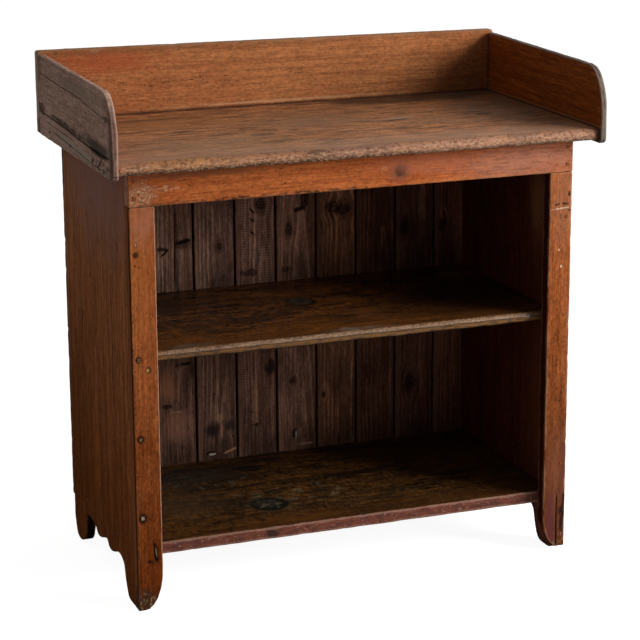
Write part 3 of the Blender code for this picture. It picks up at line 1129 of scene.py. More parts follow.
@dataclass(frozen=True)
class Iron:
    """Old nail iron, with its rust."""

    word: str
    bare: Colour
    rust: Colour
    roughness: float = 0.75
    rust_roughness: float = 0.9
    specular: float = 0.1
    rust_rate: float = 420.0
    pit_rate: float = 900.0
    pit_depth: float = 0.0004

    def dress(self) -> Material:
        """Make the material.

        Returns:
            The material.
        """
        graph = Graph(f"{self.word}_nail_iron")
        place = graph.add("ShaderNodeTexCoord", {}).outputs["Object"]
        rust = graph.span(graph.noise(place, (self.rust_rate,) * 3, detail=4.0, grit=0.65), 0.4, 0.62)
        graph.feed(graph.shader.inputs["Base Color"], graph.mix(rust, self.bare, self.rust))
        rough = graph.span(rust, 0.0, 1.0, self.roughness, self.rust_roughness)
        graph.feed(graph.shader.inputs["Roughness"], rough)
        pits = graph.noise(place, (self.pit_rate,) * 3, detail=3.0, grit=0.6)
        bump = graph.add("ShaderNodeBump", {"Strength": 0.7, "Distance": self.pit_depth, "Height": pits})
        graph.feed(graph.shader.inputs["Normal"], bump.outputs[0])
        graph.shader.inputs["Specular IOR Level"].default_value = self.specular
        return graph.material


# Finishes of the cabinet's surfaces.
FACE_PINE = Pine(
    light=(0.41, 0.112, 0.027), dark=(0.25, 0.052, 0.012), stain=(0.32, 0.07, 0.017),
    worn=(0.42, 0.17, 0.07), grime_and_shade=(0.045, 0.015, 0.007), ring_share=0.3, fleck_level=0.68,
    pit_level=0.71, grit_share=0.3, fibre_share=0.22, cloud_rates=(7.0, 16.0, 16.0), wear_share=0.4,
    specular=0.06,
)
STILE_PINE = Pine(
    light=(0.33, 0.098, 0.029), dark=(0.19, 0.047, 0.013), stain=(0.265, 0.067, 0.02),
    worn=(0.46, 0.22, 0.12), grime_and_shade=(0.035, 0.013, 0.006), ring_share=0.3, fleck_level=0.68,
    pit_level=0.71, grit_share=0.32, fibre_share=0.25, cloud_rates=(9.0, 14.0, 14.0), wear_share=0.35,
    specular=0.0,
)
# Painted light: the sides' wood is painted lighter to lift the shade on the left side; the right side takes
# it toned down.
SIDE_PINE = Pine(
    light=(0.56, 0.205, 0.082), dark=(0.115, 0.037, 0.014), stain=(0.29, 0.096, 0.037),
    worn=(0.28, 0.12, 0.055), grime_and_shade=(0.01, 0.006, 0.004), cloud_rates=(1.3, 8.0, 8.0),
    streak_share=0.55, streak_rates=(2.0, 120.0, 120.0), ring_share=0.25, cloud_share=0.5,
    wear_share=0.25, grit_share=0.2, fleck_level=0.67,
    pit_level=0.74, specular=0.0, roughness=0.7,
)
WEATHERED_PINE = Pine(
    light=(0.6, 0.38, 0.285), dark=(0.39, 0.235, 0.17), stain=(0.49, 0.27, 0.205),
    worn=(0.56, 0.35, 0.265), grime_and_shade=(0.03, 0.018, 0.013), wear_width=0.0022,
    wear_even=0.4, cloud_share=0.5, grit_share=0.3, fibre_share=0.25, ring_share=0.2,
    fleck_level=0.7, pit_level=0.74, specular=0.02, roughness=0.75, relief=0.0009,
)
GALLERY_PINE = Pine(
    light=(0.375, 0.138, 0.048), dark=(0.24, 0.078, 0.026), stain=(0.305, 0.093, 0.032),
    worn=(0.38, 0.19, 0.09), grime_and_shade=(0.05, 0.021, 0.01), ring_share=0.25, fleck_level=0.68,
    grit_share=0.28, fibre_share=0.2, cloud_rates=(6.0, 14.0, 14.0), cloud_share=0.55, wear_share=0.4,
    specular=0.06,
)
RED_PINE = Pine(
    light=(0.29, 0.078, 0.012), dark=(0.12, 0.026, 0.004), stain=(0.2, 0.043, 0.006),
    worn=(0.175, 0.142, 0.115), grime_and_shade=(0.012, 0.006, 0.003), wear_width=0.0035, wear_share=0.75,
    wear_even=0.5, ring_share=0.8, ring_pitch=0.009, grit_share=0.2, fleck_level=0.68, specular=0.04,
)
COUNTER_PINE = Pine(
    light=(0.44, 0.182, 0.074), dark=(0.075, 0.03, 0.014), stain=(0.27, 0.116, 0.052),
    worn=(0.42, 0.18, 0.085), grime_and_shade=(0.06, 0.03, 0.018), wear_width=0.003, wear_share=0.15,
    streak_share=0.85, streak_rates=(12.0, 150.0, 150.0), ring_share=0.25, pith=(0.05, -0.12),
    grit_share=0.26, fleck_level=0.7, pit_level=0.73, breadth=2.5,
    cloud_share=0.72, cloud_rates=(5.0, 40.0, 40.0), specular=0.08,
)
SHELF_PINE = Pine(
    light=(0.13, 0.043, 0.009), dark=(0.008, 0.0045, 0.0035), stain=(0.032, 0.013, 0.007),
    worn=(0.2, 0.125, 0.07), grime_and_shade=(0.004, 0.003, 0.002), wear_share=0.05, streak_share=0.9,
    streak_rates=(9.0, 130.0, 130.0), grit_share=0.45, breadth=3.5, cloud_rates=(5.0, 40.0, 40.0),
    roughness=0.28, specular=0.13,
)
FLOOR_PINE = Pine(
    light=(0.085, 0.034, 0.008), dark=(0.008, 0.005, 0.003), stain=(0.028, 0.014, 0.006),
    worn=(0.3, 0.165, 0.115), grime_and_shade=(0.004, 0.003, 0.002), wear_width=0.003,
    streak_share=0.85, streak_rates=(8.0, 120.0, 120.0), grit_share=0.65, fibre_share=0.55, breadth=3.5,
    cloud_rates=(4.0, 30.0, 30.0), roughness=0.42, specular=0.08,
)
BACK_PINE = Pine(
    light=(0.155, 0.07, 0.044), dark=(0.46, 0.225, 0.137), stain=(0.07, 0.03, 0.02),
    worn=(0.2, 0.105, 0.068), grime_and_shade=(0.008, 0.005, 0.004), wear_width=0.0025, wear_share=0.5,
    ring_share=0.85, ring_pitch=0.0064, streak_share=0.2, fibre_share=0.42, grit_share=0.28,
    cloud_share=0.7, fleck_level=0.67, pit_level=0.74, specular=0.02, roughness=0.7, relief=0.001,
)
INSIDE_PINE = Pine(
    light=(0.11, 0.024, 0.012), dark=(0.035, 0.007, 0.004), stain=(0.062, 0.012, 0.006),
    worn=(0.1, 0.045, 0.028), grime_and_shade=(0.008, 0.004, 0.003), specular=0.02, roughness=0.7,
)
RAW_PINE = Pine(
    light=(0.4, 0.24, 0.14), dark=(0.21, 0.112, 0.062), stain=(0.28, 0.17, 0.104),
    worn=(0.44, 0.29, 0.18), grime_and_shade=(0.03, 0.02, 0.014), specular=0.04, roughness=0.8,
)
BARE_IRON = Iron("bare", bare=(0.5, 0.4, 0.27), rust=(0.22, 0.15, 0.085))
DULL_IRON = Iron("dull", bare=(0.21, 0.125, 0.06), rust=(0.06, 0.028, 0.012))
STAINED_IRON = Iron("stained", bare=(0.085, 0.03, 0.012), rust=(0.03, 0.012, 0.006))
PAINTED_IRON = Iron("painted", bare=(0.24, 0.07, 0.02), rust=(0.15, 0.04, 0.012))
RUSTY_IRON = Iron("rusty", bare=(0.12, 0.065, 0.038), rust=(0.055, 0.024, 0.012))

PALE_CHIP = (0.52, 0.33, 0.2)
DARK_MARK = (0.03, 0.014, 0.008)
BLACK_MARK = (0.01, 0.006, 0.005)
PALE_GRAIN = (0.46, 0.27, 0.15)
RED_PAINT = (0.155, 0.046, 0.029)
# Darker from 0.6 m down to the foot: dirt, with painted shade for the light's falloff down the stile.
FOOT_DIRT_AND_SHADE = Gloom(0.6, 0.05, (0.5, 0.4, 0.28))


@dataclass
class FaceFrame:
    """The two stiles and the rail over the opening."""

    stile_edges: Edges = Edges(start=0.006, end=0.0008, low=0.0015, high=0.002)
    rail_edges: Edges = Edges(start=0.0018, end=0.0018, low=0.0028, high=0.001)
    left_wear: float = 0.0014

    def build(self) -> None:
        """Make and dress the three boards."""
        self.build_left_stile()
        self.build_right_stile()
        self.build_rail()

    def build_left_stile(self) -> None:
        """Make the left stile, with its nail holes and the gouge over its foot."""
        stile = Board(
            "stile_left", Lie.STANDING, Axis.Z, show=-1, seed=11, edges=self.stile_edges, pitch=0.004,
            chip_depth=0.0007, nibble=0.0003,
            dents=(
                Dent((0.116, -0.421), (0.022, 0.0045), depth=0.003, shade=0.2),
                Dent((0.1, -0.433), (0.004, 0.007), depth=0.0022, shade=0.6),
                Dent((0.03, -0.446), (0.012, 0.006), depth=0.0015),
                Dent((0.19, -0.4455), (0.011, 0.0085), depth=0.0012, shade=1.0),
                Dent((0.348, -0.4455), (0.009, 0.0075), depth=0.001, shade=0.9),
                Dent((0.505, -0.4455), (0.008, 0.007), depth=0.0008, shade=0.7),
                Dent((0.707, -0.4455), (0.007, 0.006), depth=0.0008, shade=0.7),
            ),
        )
        marks = (
            FOOT_DIRT_AND_SHADE,
            Patch((0.66, -0.445), (0.2, 0.05), (0.4, 0.128, 0.032), 0.38, soft=0.9),
            Band(float(stile.high[0]) - 0.002, 1, (0.42, 0.25, 0.165), fade=0.001, share=0.75,
                 ragged=0.0008),
            Band(float(stile.low[1]) + 0.0015, 1, (0.08, 0.02, 0.005), fade=0.0005, share=1.0, ragged=0.0002,
                 way=Part.THROUGH),
            Band(float(stile.low[1]) + 0.01, 1, (0.31, 0.107, 0.04), share=1.0, ragged=0.001,
                 way=Part.THROUGH),
            Patch((0.125, -0.4228), (0.024, 0.0034), BLACK_MARK, 0.97, turn=-8),
            Patch((0.108, -0.42), (0.013, 0.0058), BLACK_MARK, 0.97, turn=-8, ragged=0.3),
            Patch((0.116, -0.4196), (0.013, 0.0012), (0.34, 0.21, 0.13), turn=-8, ragged=0.3),
            Patch((0.098, -0.434), (0.0035, 0.01), DARK_MARK, turn=12, ragged=0.5, rate=160, sunk=1.0),
            Patch((0.726, -0.446), (0.008, 0.003), (0.09, 0.035, 0.012), 0.7, sunk=2.0),
            Patch((0.727, -0.445), (0.005, 0.0018), (0.62, 0.38, 0.16), 0.9),
            Patch((0.686, -0.448), (0.0035, 0.0035), (0.11, 0.032, 0.008), 0.7, sunk=1.0),
            Patch((0.684, -0.441), (0.003, 0.003), (0.12, 0.036, 0.01), 0.6, sunk=1.0),
            Patch((0.483, -0.428), (0.0085, 0.007), (0.1, 0.035, 0.012), 0.9, sunk=1.5),
            Patch((0.483, -0.428), (0.0045, 0.004), (0.42, 0.22, 0.08), 0.9, ragged=0.0),
            Patch((0.35, -0.44), (0.3, 0.03), DARK_MARK, 0.35, crumbs=0.62, rate=190),
            Patch((0.775, -0.43), (0.07, 0.04), (0.42, 0.17, 0.1), 0.5, ragged=0.5, rate=40, soft=0.9),
            Patch((0.012, -0.447), (0.046, 0.04), (0.055, 0.026, 0.014), 0.85, ragged=0.4, soft=0.7),
            Patch((0.012, -0.447), (0.034, 0.03), (0.24, 0.155, 0.08), crumbs=0.53, rate=160),
        )
        pine = replace(STILE_PINE, wear_width=self.left_wear)
        stile.build((pine.dress("stile_left_face", stile, marks),
                     INSIDE_PINE.dress("stile_left_back", stile)), "face_frame")

    def build_right_stile(self) -> None:
        """Make the right stile, with its split foot and what is left of red paint."""
        stile = Board(
            "stile_right", Lie.STANDING, Axis.Z, show=-1, seed=12, edges=self.stile_edges, pitch=0.004,
            chip_depth=0.0008,
            checks=(Check(((0.0, 0.4375), (0.05, 0.4368), (0.128, 0.4372)), width=0.0012, depth=0.006),),
        )
        marks = (
            # Darker towards the foot: dirt, with painted shade for the light's falloff down the stile.
            Gloom(0.6, 0.05, (0.48, 0.46, 0.52)),
            Gloom(0.75, 0.35, (0.82, 0.8, 0.75)),
            Patch((0.74, 0.445), (0.14, 0.05), (0.26, 0.12, 0.07), 0.4, soft=0.8),
            Patch((0.16, 0.445), (0.18, 0.05), (0.19, 0.072, 0.046), 0.4, soft=0.8),
            # Painted shade on the inner side face, which faces away from the lamp.
            Band(float(stile.low[0]) + 0.0026, -1, (0.048, 0.011, 0.006), fade=0.0014, share=1.0,
                 ragged=0.0006),
            Patch((0.7325, 0.424), (0.0024, 0.009), DARK_MARK, turn=-9, ragged=0.5, rate=160, sunk=2.0),
            Patch((0.7335, 0.441), (0.0026, 0.01), DARK_MARK, 0.85, turn=5, ragged=0.5, rate=160, sunk=2.0),
            Patch((0.7245, 0.433), (0.0022, 0.023), (0.55, 0.38, 0.26), 0.7, turn=-4, ragged=0.5, rate=160),
            Patch((0.7195, 0.452), (0.003, 0.004), DARK_MARK),
            Patch((0.753, 0.45), (0.008, 0.0035), DARK_MARK, 0.9, sunk=2.0),
            Patch((0.606, 0.436), (0.0045, 0.0035), (0.55, 0.38, 0.24), 0.9),
            Patch((0.64, 0.43), (0.0035, 0.003), (0.5, 0.33, 0.2)),
            Patch((0.075, 0.453), (0.05, 0.012), BLACK_MARK, 0.85, ragged=0.5),
            Patch((0.05, 0.45), (0.05, 0.01), (0.3, 0.17, 0.11), 0.7, ragged=0.4, rate=170, crumbs=0.56),
            Patch((0.38, 0.435), (0.14, 0.03), DARK_MARK, 0.7, crumbs=0.62, rate=170),
            Patch((0.06, 0.424), (0.085, 0.014), (0.105, 0.03, 0.03)),
            Patch((0.01, 0.44), (0.02, 0.03), (0.17, 0.11, 0.065), crumbs=0.52, rate=180),
        )
        stile.build((STILE_PINE.dress("stile_right_face", stile, marks),
                     INSIDE_PINE.dress("stile_right_back", stile)), "face_frame")

    def build_rail(self) -> None:
        """Make the rail, with its knot, its chipped left end and its ragged lower edge."""
        rail = Board(
            "top_rail", Lie.ACROSS, Axis.X, show=-1, seed=13, edges=self.rail_edges, pitch=0.005,
            chips=16, chip_depth=0.0009,
        )
        low, high = float(rail.low[2]), float(rail.high[2])
        marks = (
            Patch((0.085, 0.824), (0.036, 0.026), (0.26, 0.08, 0.04), 0.5, ragged=0.3, rate=60, soft=0.8),
            Knot((0.087, 0.826), 0.012, (0.045, 0.018, 0.013), (0.15, 0.05, 0.03), stretch=1.15, share=0.95),
            Patch((0.087, 0.826), (0.008, 0.008), (0.04, 0.018, 0.014), 0.75, ragged=0.3),
            Patch((0.052, 0.832), (0.007, 0.016), (0.46, 0.23, 0.13), 0.7, ragged=0.4, rate=220,
                  crumbs=0.52),
            Patch((-0.434, 0.818), (0.034, 0.036), (0.32, 0.125, 0.06), ragged=0.5),
            Patch((-0.432, 0.82), (0.034, 0.034), PALE_CHIP, 0.7, turn=-25, ragged=0.5, rate=210,
                  crumbs=0.54, run=0.9),
            Patch((-0.392, 0.83), (0.034, 0.008), PALE_CHIP, 0.55, turn=-6, ragged=0.6, rate=190, crumbs=0.5,
                  run=0.4),
            Patch((-0.43, 0.816), (0.036, 0.036), DARK_MARK, ragged=0.5, rate=200, crumbs=0.57, run=0.8),
            Patch((0.36, 0.825), (0.24, 0.06), (0.35, 0.175, 0.128), 0.5, soft=0.9),
            Patch((0.36, 0.83), (0.2, 0.05), (0.17, 0.06, 0.032), 0.5, crumbs=0.54, rate=210, run=0.15),
            Patch((0.14, 0.84), (0.16, 0.03), (0.37, 0.115, 0.055), 0.55, soft=0.9),
            Patch((-0.1, 0.83), (0.4, 0.04), DARK_MARK, 0.6, crumbs=0.66, rate=170),
            Patch((-0.2, low + 0.002), (0.3, 0.007), DARK_MARK, 0.85, ragged=0.3, rate=120, crumbs=0.47),
            # Painted shade under the counter's overhang: a dark line along the top, and a deeper one on the
            # left.
            Band(high - 0.002, 1, DARK_MARK, share=0.7),
            Patch((-0.32, high - 0.012), (0.2, 0.008), (0.19, 0.06, 0.026), 0.75, ragged=0.2, rate=60,
                  soft=0.7),
            Band(float(rail.low[0]) + 0.0012, -1, (0.31, 0.107, 0.04), fade=0.0004, share=0.95,
                 ragged=0.0002, way=Part.ALONG),
        )
        rail.build((FACE_PINE.dress("top_rail_face", rail, marks),
                    INSIDE_PINE.dress("top_rail_back", rail)), "face_frame")


@dataclass
class BootjackSides:
    """The two side boards with their scalloped feet and their housings."""

    edges: Edges = Edges(start=0.001, end=0.002, low=0.0028, high=0.0008)
    housing_depth: float = 0.008
    housing_gap: float = 0.0003
    straight_above: float = 0.09
    housed: tuple[str, ...] = ("floor_board", "middle_shelf")
    # Tint that takes the right side's wood back down from the painted light that lifts the left side.
    right_tone: Colour = (0.55, 0.52, 0.48)
    scars_dirt_and_shade: tuple[Mark, ...] = (
        Patch((0.509, 0.133), (0.012, 0.004), DARK_MARK, sunk=1.0),
        Patch((0.5, 0.036), (0.008, 0.003), DARK_MARK, sunk=1.0),
        Patch((0.656, 0.185), (0.016, 0.004), DARK_MARK, 0.7, sunk=1.0),
        Patch((0.705, -0.135), (0.012, 0.005), DARK_MARK, 0.6, sunk=1.0),
        # Darker towards the bottom: dirt, with painted shade for the light's falloff; the patch below
        # darkens the back of the lower part.
        Gloom(0.7, 0.1, (0.64, 0.55, 0.42)),
        Patch((0.28, 0.24), (0.4, 0.12), (0.14, 0.042, 0.015), 0.45, soft=0.9),
    )

    def build(self) -> None:
        """Make and dress both boards."""
        self.build_left()
        self.build_right()

    def board(self, node: str, show: int, seed: int) -> Board:
        """Lay out one side board with its housings.

        Args:
            node: Its name in the frame.
            show: Sign of its outer face.
            seed: Seed of its wear.

        Returns:
            The board, not yet dressed.
        """
        grooves = []
        for shelf in self.housed:
            low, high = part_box(shelf)
            grooves.append(Groove(low.z - self.housing_gap, high.z + self.housing_gap, self.housing_depth))
        return Board(
            node, Lie.SIDE_ON, Axis.Z, show=show, seed=seed, edges=self.edges, pitch=0.008,
            grooves=grooves, straight_above=self.straight_above, low_rim_shade=0.9, chip_depth=0.0008,
        )

    def build_left(self) -> None:
        """Make the left side, with its pale bloom below the counter."""
        side = self.board("side_left", show=-1, seed=21)
        bloom = Patch((0.84, 0.0), (0.24, 0.4), (0.44, 0.23, 0.18), 0.85, soft=0.9)
        side.build((SIDE_PINE.dress("side_left_outside", side, (bloom, *self.scars_dirt_and_shade)),
                    INSIDE_PINE.dress("side_left_inside", side)), "side_boards")

    def build_right(self) -> None:
        """Make the right side, whose inside is rubbed towards the front."""
        side = self.board("side_right", show=1, seed=22)
        rubbed = (
            Band(-0.1, -1, (0.17, 0.055, 0.025), fade=0.08, share=0.6, ragged=0.02),
            Patch((0.72, -0.12), (0.12, 0.07), (0.34, 0.15, 0.062), 0.6, soft=0.9, rate=40),
        )
        outside = SIDE_PINE.toned(self.right_tone)
        side.build((outside.dress("side_right_outside", side, self.scars_dirt_and_shade),
                    INSIDE_PINE.dress("side_right_inside", side, rubbed)), "side_boards")


@dataclass
class Counter:
    """The counter board with its bullnose."""

    edges: Edges = Edges(start=0.0008, end=0.0008, low=0.0117, high=0.0008)

    def build(self) -> None:
        """Make and dress the board."""
        board = Board(
            "counter_top", Lie.FLAT, Axis.X, show=1, seed=31, edges=self.edges, chips=40, chip_depth=0.001,
        )
        front, rear, base = float(board.low[1]), float(board.high[1]), float(board.low[2])
        marks = (
            Patch((0.155, -0.022), (0.05, 0.012), (0.06, 0.032, 0.02), turn=13, ragged=0.4, rate=40),
            Patch((0.175, 0.0), (0.04, 0.014), (0.4, 0.24, 0.15), 0.7, turn=13),
            Patch((-0.141, -0.067), (0.03, 0.018), (0.07, 0.036, 0.024), ragged=0.4, rate=40),
            Patch((-0.3, 0.163), (0.11, 0.014), (0.06, 0.026, 0.012), turn=2, ragged=0.5, rate=40),
            Patch((-0.3, 0.12), (0.24, 0.1), (0.35, 0.14, 0.05), 0.55, soft=0.9, rate=30),
            Patch((-0.26, -0.13), (0.26, 0.12), (0.31, 0.175, 0.085), 0.45, soft=0.9, rate=30),
            Patch((0.0, 0.04), (0.2, 0.12), (0.19, 0.105, 0.06), 0.45, soft=0.9, rate=30),
            Patch((0.22, 0.1), (0.2, 0.06), (0.24, 0.1, 0.046), 0.4, soft=0.9, rate=30),
            # Painted shadow of the right end over the right part of the counter: a tint that grows towards
            # the end, and a dark patch over it.
            Gloom(0.26, 0.5, (0.42, 0.36, 0.31)),
            Patch((0.45, 0.06), (0.18, 0.28), (0.055, 0.027, 0.014), 0.6, soft=0.95, rate=30),
            Band(front + 0.08, -1, (0.43, 0.245, 0.15), fade=0.045, share=0.46, ragged=0.02, rate=20),
            Band(front + 0.014, -1, (0.35, 0.155, 0.078), fade=0.007, share=0.76, ragged=0.003),
            Patch((-0.36, front), (0.09, 0.022), (0.42, 0.185, 0.06), 0.6, rate=60),
            Patch((-0.02, front), (0.1, 0.02), (0.2, 0.105, 0.085), 0.6, rate=60),
            # Painted shadow of the right end on the right end of the nose.
            Patch((0.43, front), (0.09, 0.016), (0.27, 0.14, 0.1), 0.5, rate=60),
            Patch((-0.1, front), (0.035, 0.014), (0.055, 0.034, 0.024), 0.6, rate=60),
            Patch((0.33, front), (0.04, 0.014), (0.075, 0.048, 0.04), 0.6, rate=60),
            # Painted shade on the underside of the bullnose, darkest at its lower edge.
            Band(base + 0.0095, -1, (0.095, 0.042, 0.02), fade=0.0035, share=0.75, ragged=0.003, rate=40,
                 way=Part.THROUGH),
            Band(base + 0.0055, -1, (0.035, 0.016, 0.008), fade=0.0035, way=Part.THROUGH),
            Patch((0.22, front), (0.28, 0.012), (0.36, 0.195, 0.13), 0.55, ragged=0.2, rate=60, soft=0.8),
            # Pale crumbs on the nose's upper part: worn grain, with painted highlights where the rounded
            # edge catches the light.
            Band(base + 0.018, -1, (0.53, 0.315, 0.195), fade=0.003, share=0.66, rate=160, crumbs=0.49,
                 way=Part.THROUGH),
            Band(front + 0.017, -1, (0.11, 0.052, 0.03), fade=0.006, share=0.7, ragged=0.003, rate=130,
                 sunk=1.0, crumbs=0.52, run=0.5),
            # Painted shade along the back where the gallery stands on the counter, and a painted shadow over
            # the back's right part.
            Band(rear - 0.012, 1, (0.09, 0.042, 0.03), fade=0.01, share=0.42, ragged=0.004),
            Patch((0.27, rear - 0.03), (0.25, 0.075), (0.026, 0.014, 0.008), 0.78, ragged=0.3, rate=30),
        )
        board.build((COUNTER_PINE.dress("counter_face", board, marks),
                     RAW_PINE.dress("counter_underside", board)), "counter")


@dataclass
class Gallery:
    """The back and the two ends that stand round the counter."""

    back_edges: Edges = Edges(start=0.003, end=0.003, low=0.0015, high=0.004)
    end_edges: Edges = Edges(start=0.0045, end=0.0015, low=0.003, high=0.0035)
    left_wear: float = 0.2
    right_tone: Colour = (0.55, 0.47, 0.42)

    def build(self) -> None:
        """Make and dress the three boards."""
        self.build_back()
        self.build_left_end()
        self.build_right_end()

    def build_back(self) -> None:
        """Make the back, with painted shadow in its right corner, and weathered on its rear."""
        back = Board(
            "gallery_back", Lie.ACROSS, Axis.X, show=-1, seed=41, edges=self.back_edges, pitch=0.006,
            nibble=0.0002, chips=8, chip_depth=0.0006,
        )
        back_marks = (
            # Painted shadow of the right end over the back's right corner.
            Patch((0.46, 0.88), (0.27, 0.125), (0.07, 0.018, 0.005), 0.56, ragged=0.1, rate=30, soft=0.9),
            Patch((0.02, 0.8955), (0.36, 0.0035), (0.5, 0.265, 0.13), 0.7, ragged=0.4, rate=60, soft=0.7),
            Band(float(back.low[0]) + 0.004, -1, (0.42, 0.275, 0.2), fade=0.001, ragged=0.0008,
                 way=Part.ALONG),
            Patch((-0.384, 1.02), (0.012, 0.005), (0.42, 0.28, 0.16)),
            Patch((-0.36, 1.0), (0.16, 0.04), (0.33, 0.065, 0.022), 0.6, soft=0.8),
            Band(0.8905, -1, DARK_MARK, fade=0.0025, ragged=0.001),
            Band(1.012, 1, (0.14, 0.06, 0.026), fade=0.006, share=0.4, ragged=0.004),
        )
        rear_marks = (
            Knot((-0.21, 0.945), 0.011, (0.06, 0.035, 0.024), (0.2, 0.125, 0.085)),
            Knot((0.27, 0.975), 0.007, (0.06, 0.035, 0.024), (0.2, 0.125, 0.085)),
            Patch((0.08, 0.89), (0.34, 0.035), (0.13, 0.085, 0.06), 0.5, soft=0.9, rate=40),
            Patch((-0.36, 0.985), (0.12, 0.02), (0.3, 0.2, 0.14), 0.5, soft=0.9, rate=40),
        )
        back.build((GALLERY_PINE.dress("gallery_back_face", back, back_marks),
                    WEATHERED_PINE.dress("gallery_back_rear", back, rear_marks)), "gallery")

    def build_left_end(self) -> None:
        """Make the left end, with the cracks and stains of its weathered outside."""
        left = Board(
            "gallery_end_left", Lie.SIDE_ON, Axis.Y, show=-1, seed=42, edges=self.end_edges, pitch=0.005,
            nibble=0.0002, chip_depth=0.0009,
            checks=(
                Check(((-0.258, 0.8965), (-0.168, 0.896), (-0.056, 0.899), (0.062, 0.9045), (0.25, 0.908)),
                      width=0.0018, depth=0.0045),
                Check(((-0.235, 0.966), (-0.16, 0.972), (-0.07, 0.979), (0.133, 0.983), (0.25, 0.9855)),
                      width=0.0011, depth=0.003),
                Check(((-0.02, 0.8905), (0.209, 0.894)), width=0.0009, depth=0.003),
                Check(((-0.25, 0.869), (-0.147, 0.869), (0.147, 0.8825)), width=0.001, depth=0.003),
            ),
            dents=(Dent((-0.19, 0.8965), (0.07, 0.007), depth=0.002, shade=0.75),),
        )
        marks = (
            Band(float(left.low[1]) + 0.016, -1, (0.11, 0.052, 0.036), fade=0.012, share=0.85, ragged=0.004,
                 way=Part.ALONG),
            Patch((-0.02, 0.878), (0.17, 0.012), (0.5, 0.43, 0.32), 0.65, turn=2.0, ragged=0.3, rate=50),
            Patch((-0.17, 0.907), (0.14, 0.019), (0.05, 0.034, 0.024), 0.92, ragged=0.35, rate=50, soft=0.6),
            Patch((0.04, 0.909), (0.16, 0.008), (0.06, 0.04, 0.029), 0.85, turn=2.0, ragged=0.5, rate=60),
            Patch((0.24, 0.915), (0.05, 0.014), (0.05, 0.03, 0.021), 0.85, ragged=0.5),
            Patch((0.245, 1.0), (0.03, 0.04), (0.13, 0.1, 0.07), 0.6),
            Patch((-0.21, 0.876), (0.08, 0.016), (0.06, 0.042, 0.03), ragged=0.4, rate=120, crumbs=0.46),
            Patch((-0.24, 0.968), (0.03, 0.008), (0.08, 0.05, 0.038), turn=3.0, ragged=0.6),
            Patch((-0.245, 0.992), (0.035, 0.022), (0.16, 0.1, 0.075), 0.5, soft=0.8),
            Patch((-0.05, 0.995), (0.28, 0.02), (0.3, 0.22, 0.15), 0.5, ragged=0.3, rate=40, soft=0.8),
            Patch((0.0, 0.94), (0.3, 0.06), (0.1, 0.06, 0.045), 0.6, crumbs=0.62, rate=120, run=0.35),
            # Pale line along the top's inner edge: wear, with a painted highlight of the light from above on
            # the rounded edge.
            Band(float(left.low[0]) + 0.0105, 1, (0.4, 0.245, 0.182), fade=0.0012, share=0.65, ragged=0.0012,
                 rate=90, way=Part.THROUGH),
        )
        outside = replace(WEATHERED_PINE, wear_share=self.left_wear)
        left.build((outside.dress("gallery_end_left_outside", left, marks),
                    GALLERY_PINE.dress("gallery_end_left_inside", left)), "gallery")

    def build_right_end(self) -> None:
        """Make the right end, red on its inside."""
        right = Board(
            "gallery_end_right", Lie.SIDE_ON, Axis.Y, show=-1, seed=43, edges=self.end_edges, pitch=0.005,
            nibble=0.0002, chips=12, chip_depth=0.0009,
        )
        marks = (
            Band(0.8945, -1, (0.3, 0.15, 0.075), fade=0.001, share=0.5, ragged=0.001),
            Band(0.891, -1, DARK_MARK, fade=0.001, share=0.8, ragged=0.0008),
            # Painted shade in the corner against the gallery back.
            Band(float(right.high[1]) - 0.009, 1, DARK_MARK, fade=0.006, share=0.75, way=Part.ALONG),
            Band(float(right.low[0]) + 0.004, 1, (0.055, 0.042, 0.034), fade=0.0015, ragged=0.001,
                 way=Part.THROUGH),
        )
        outside = WEATHERED_PINE.toned(self.right_tone)
        right.build((RED_PINE.dress("gallery_end_right_inside", right, marks),
                     outside.dress("gallery_end_right_outside", right)), "gallery")


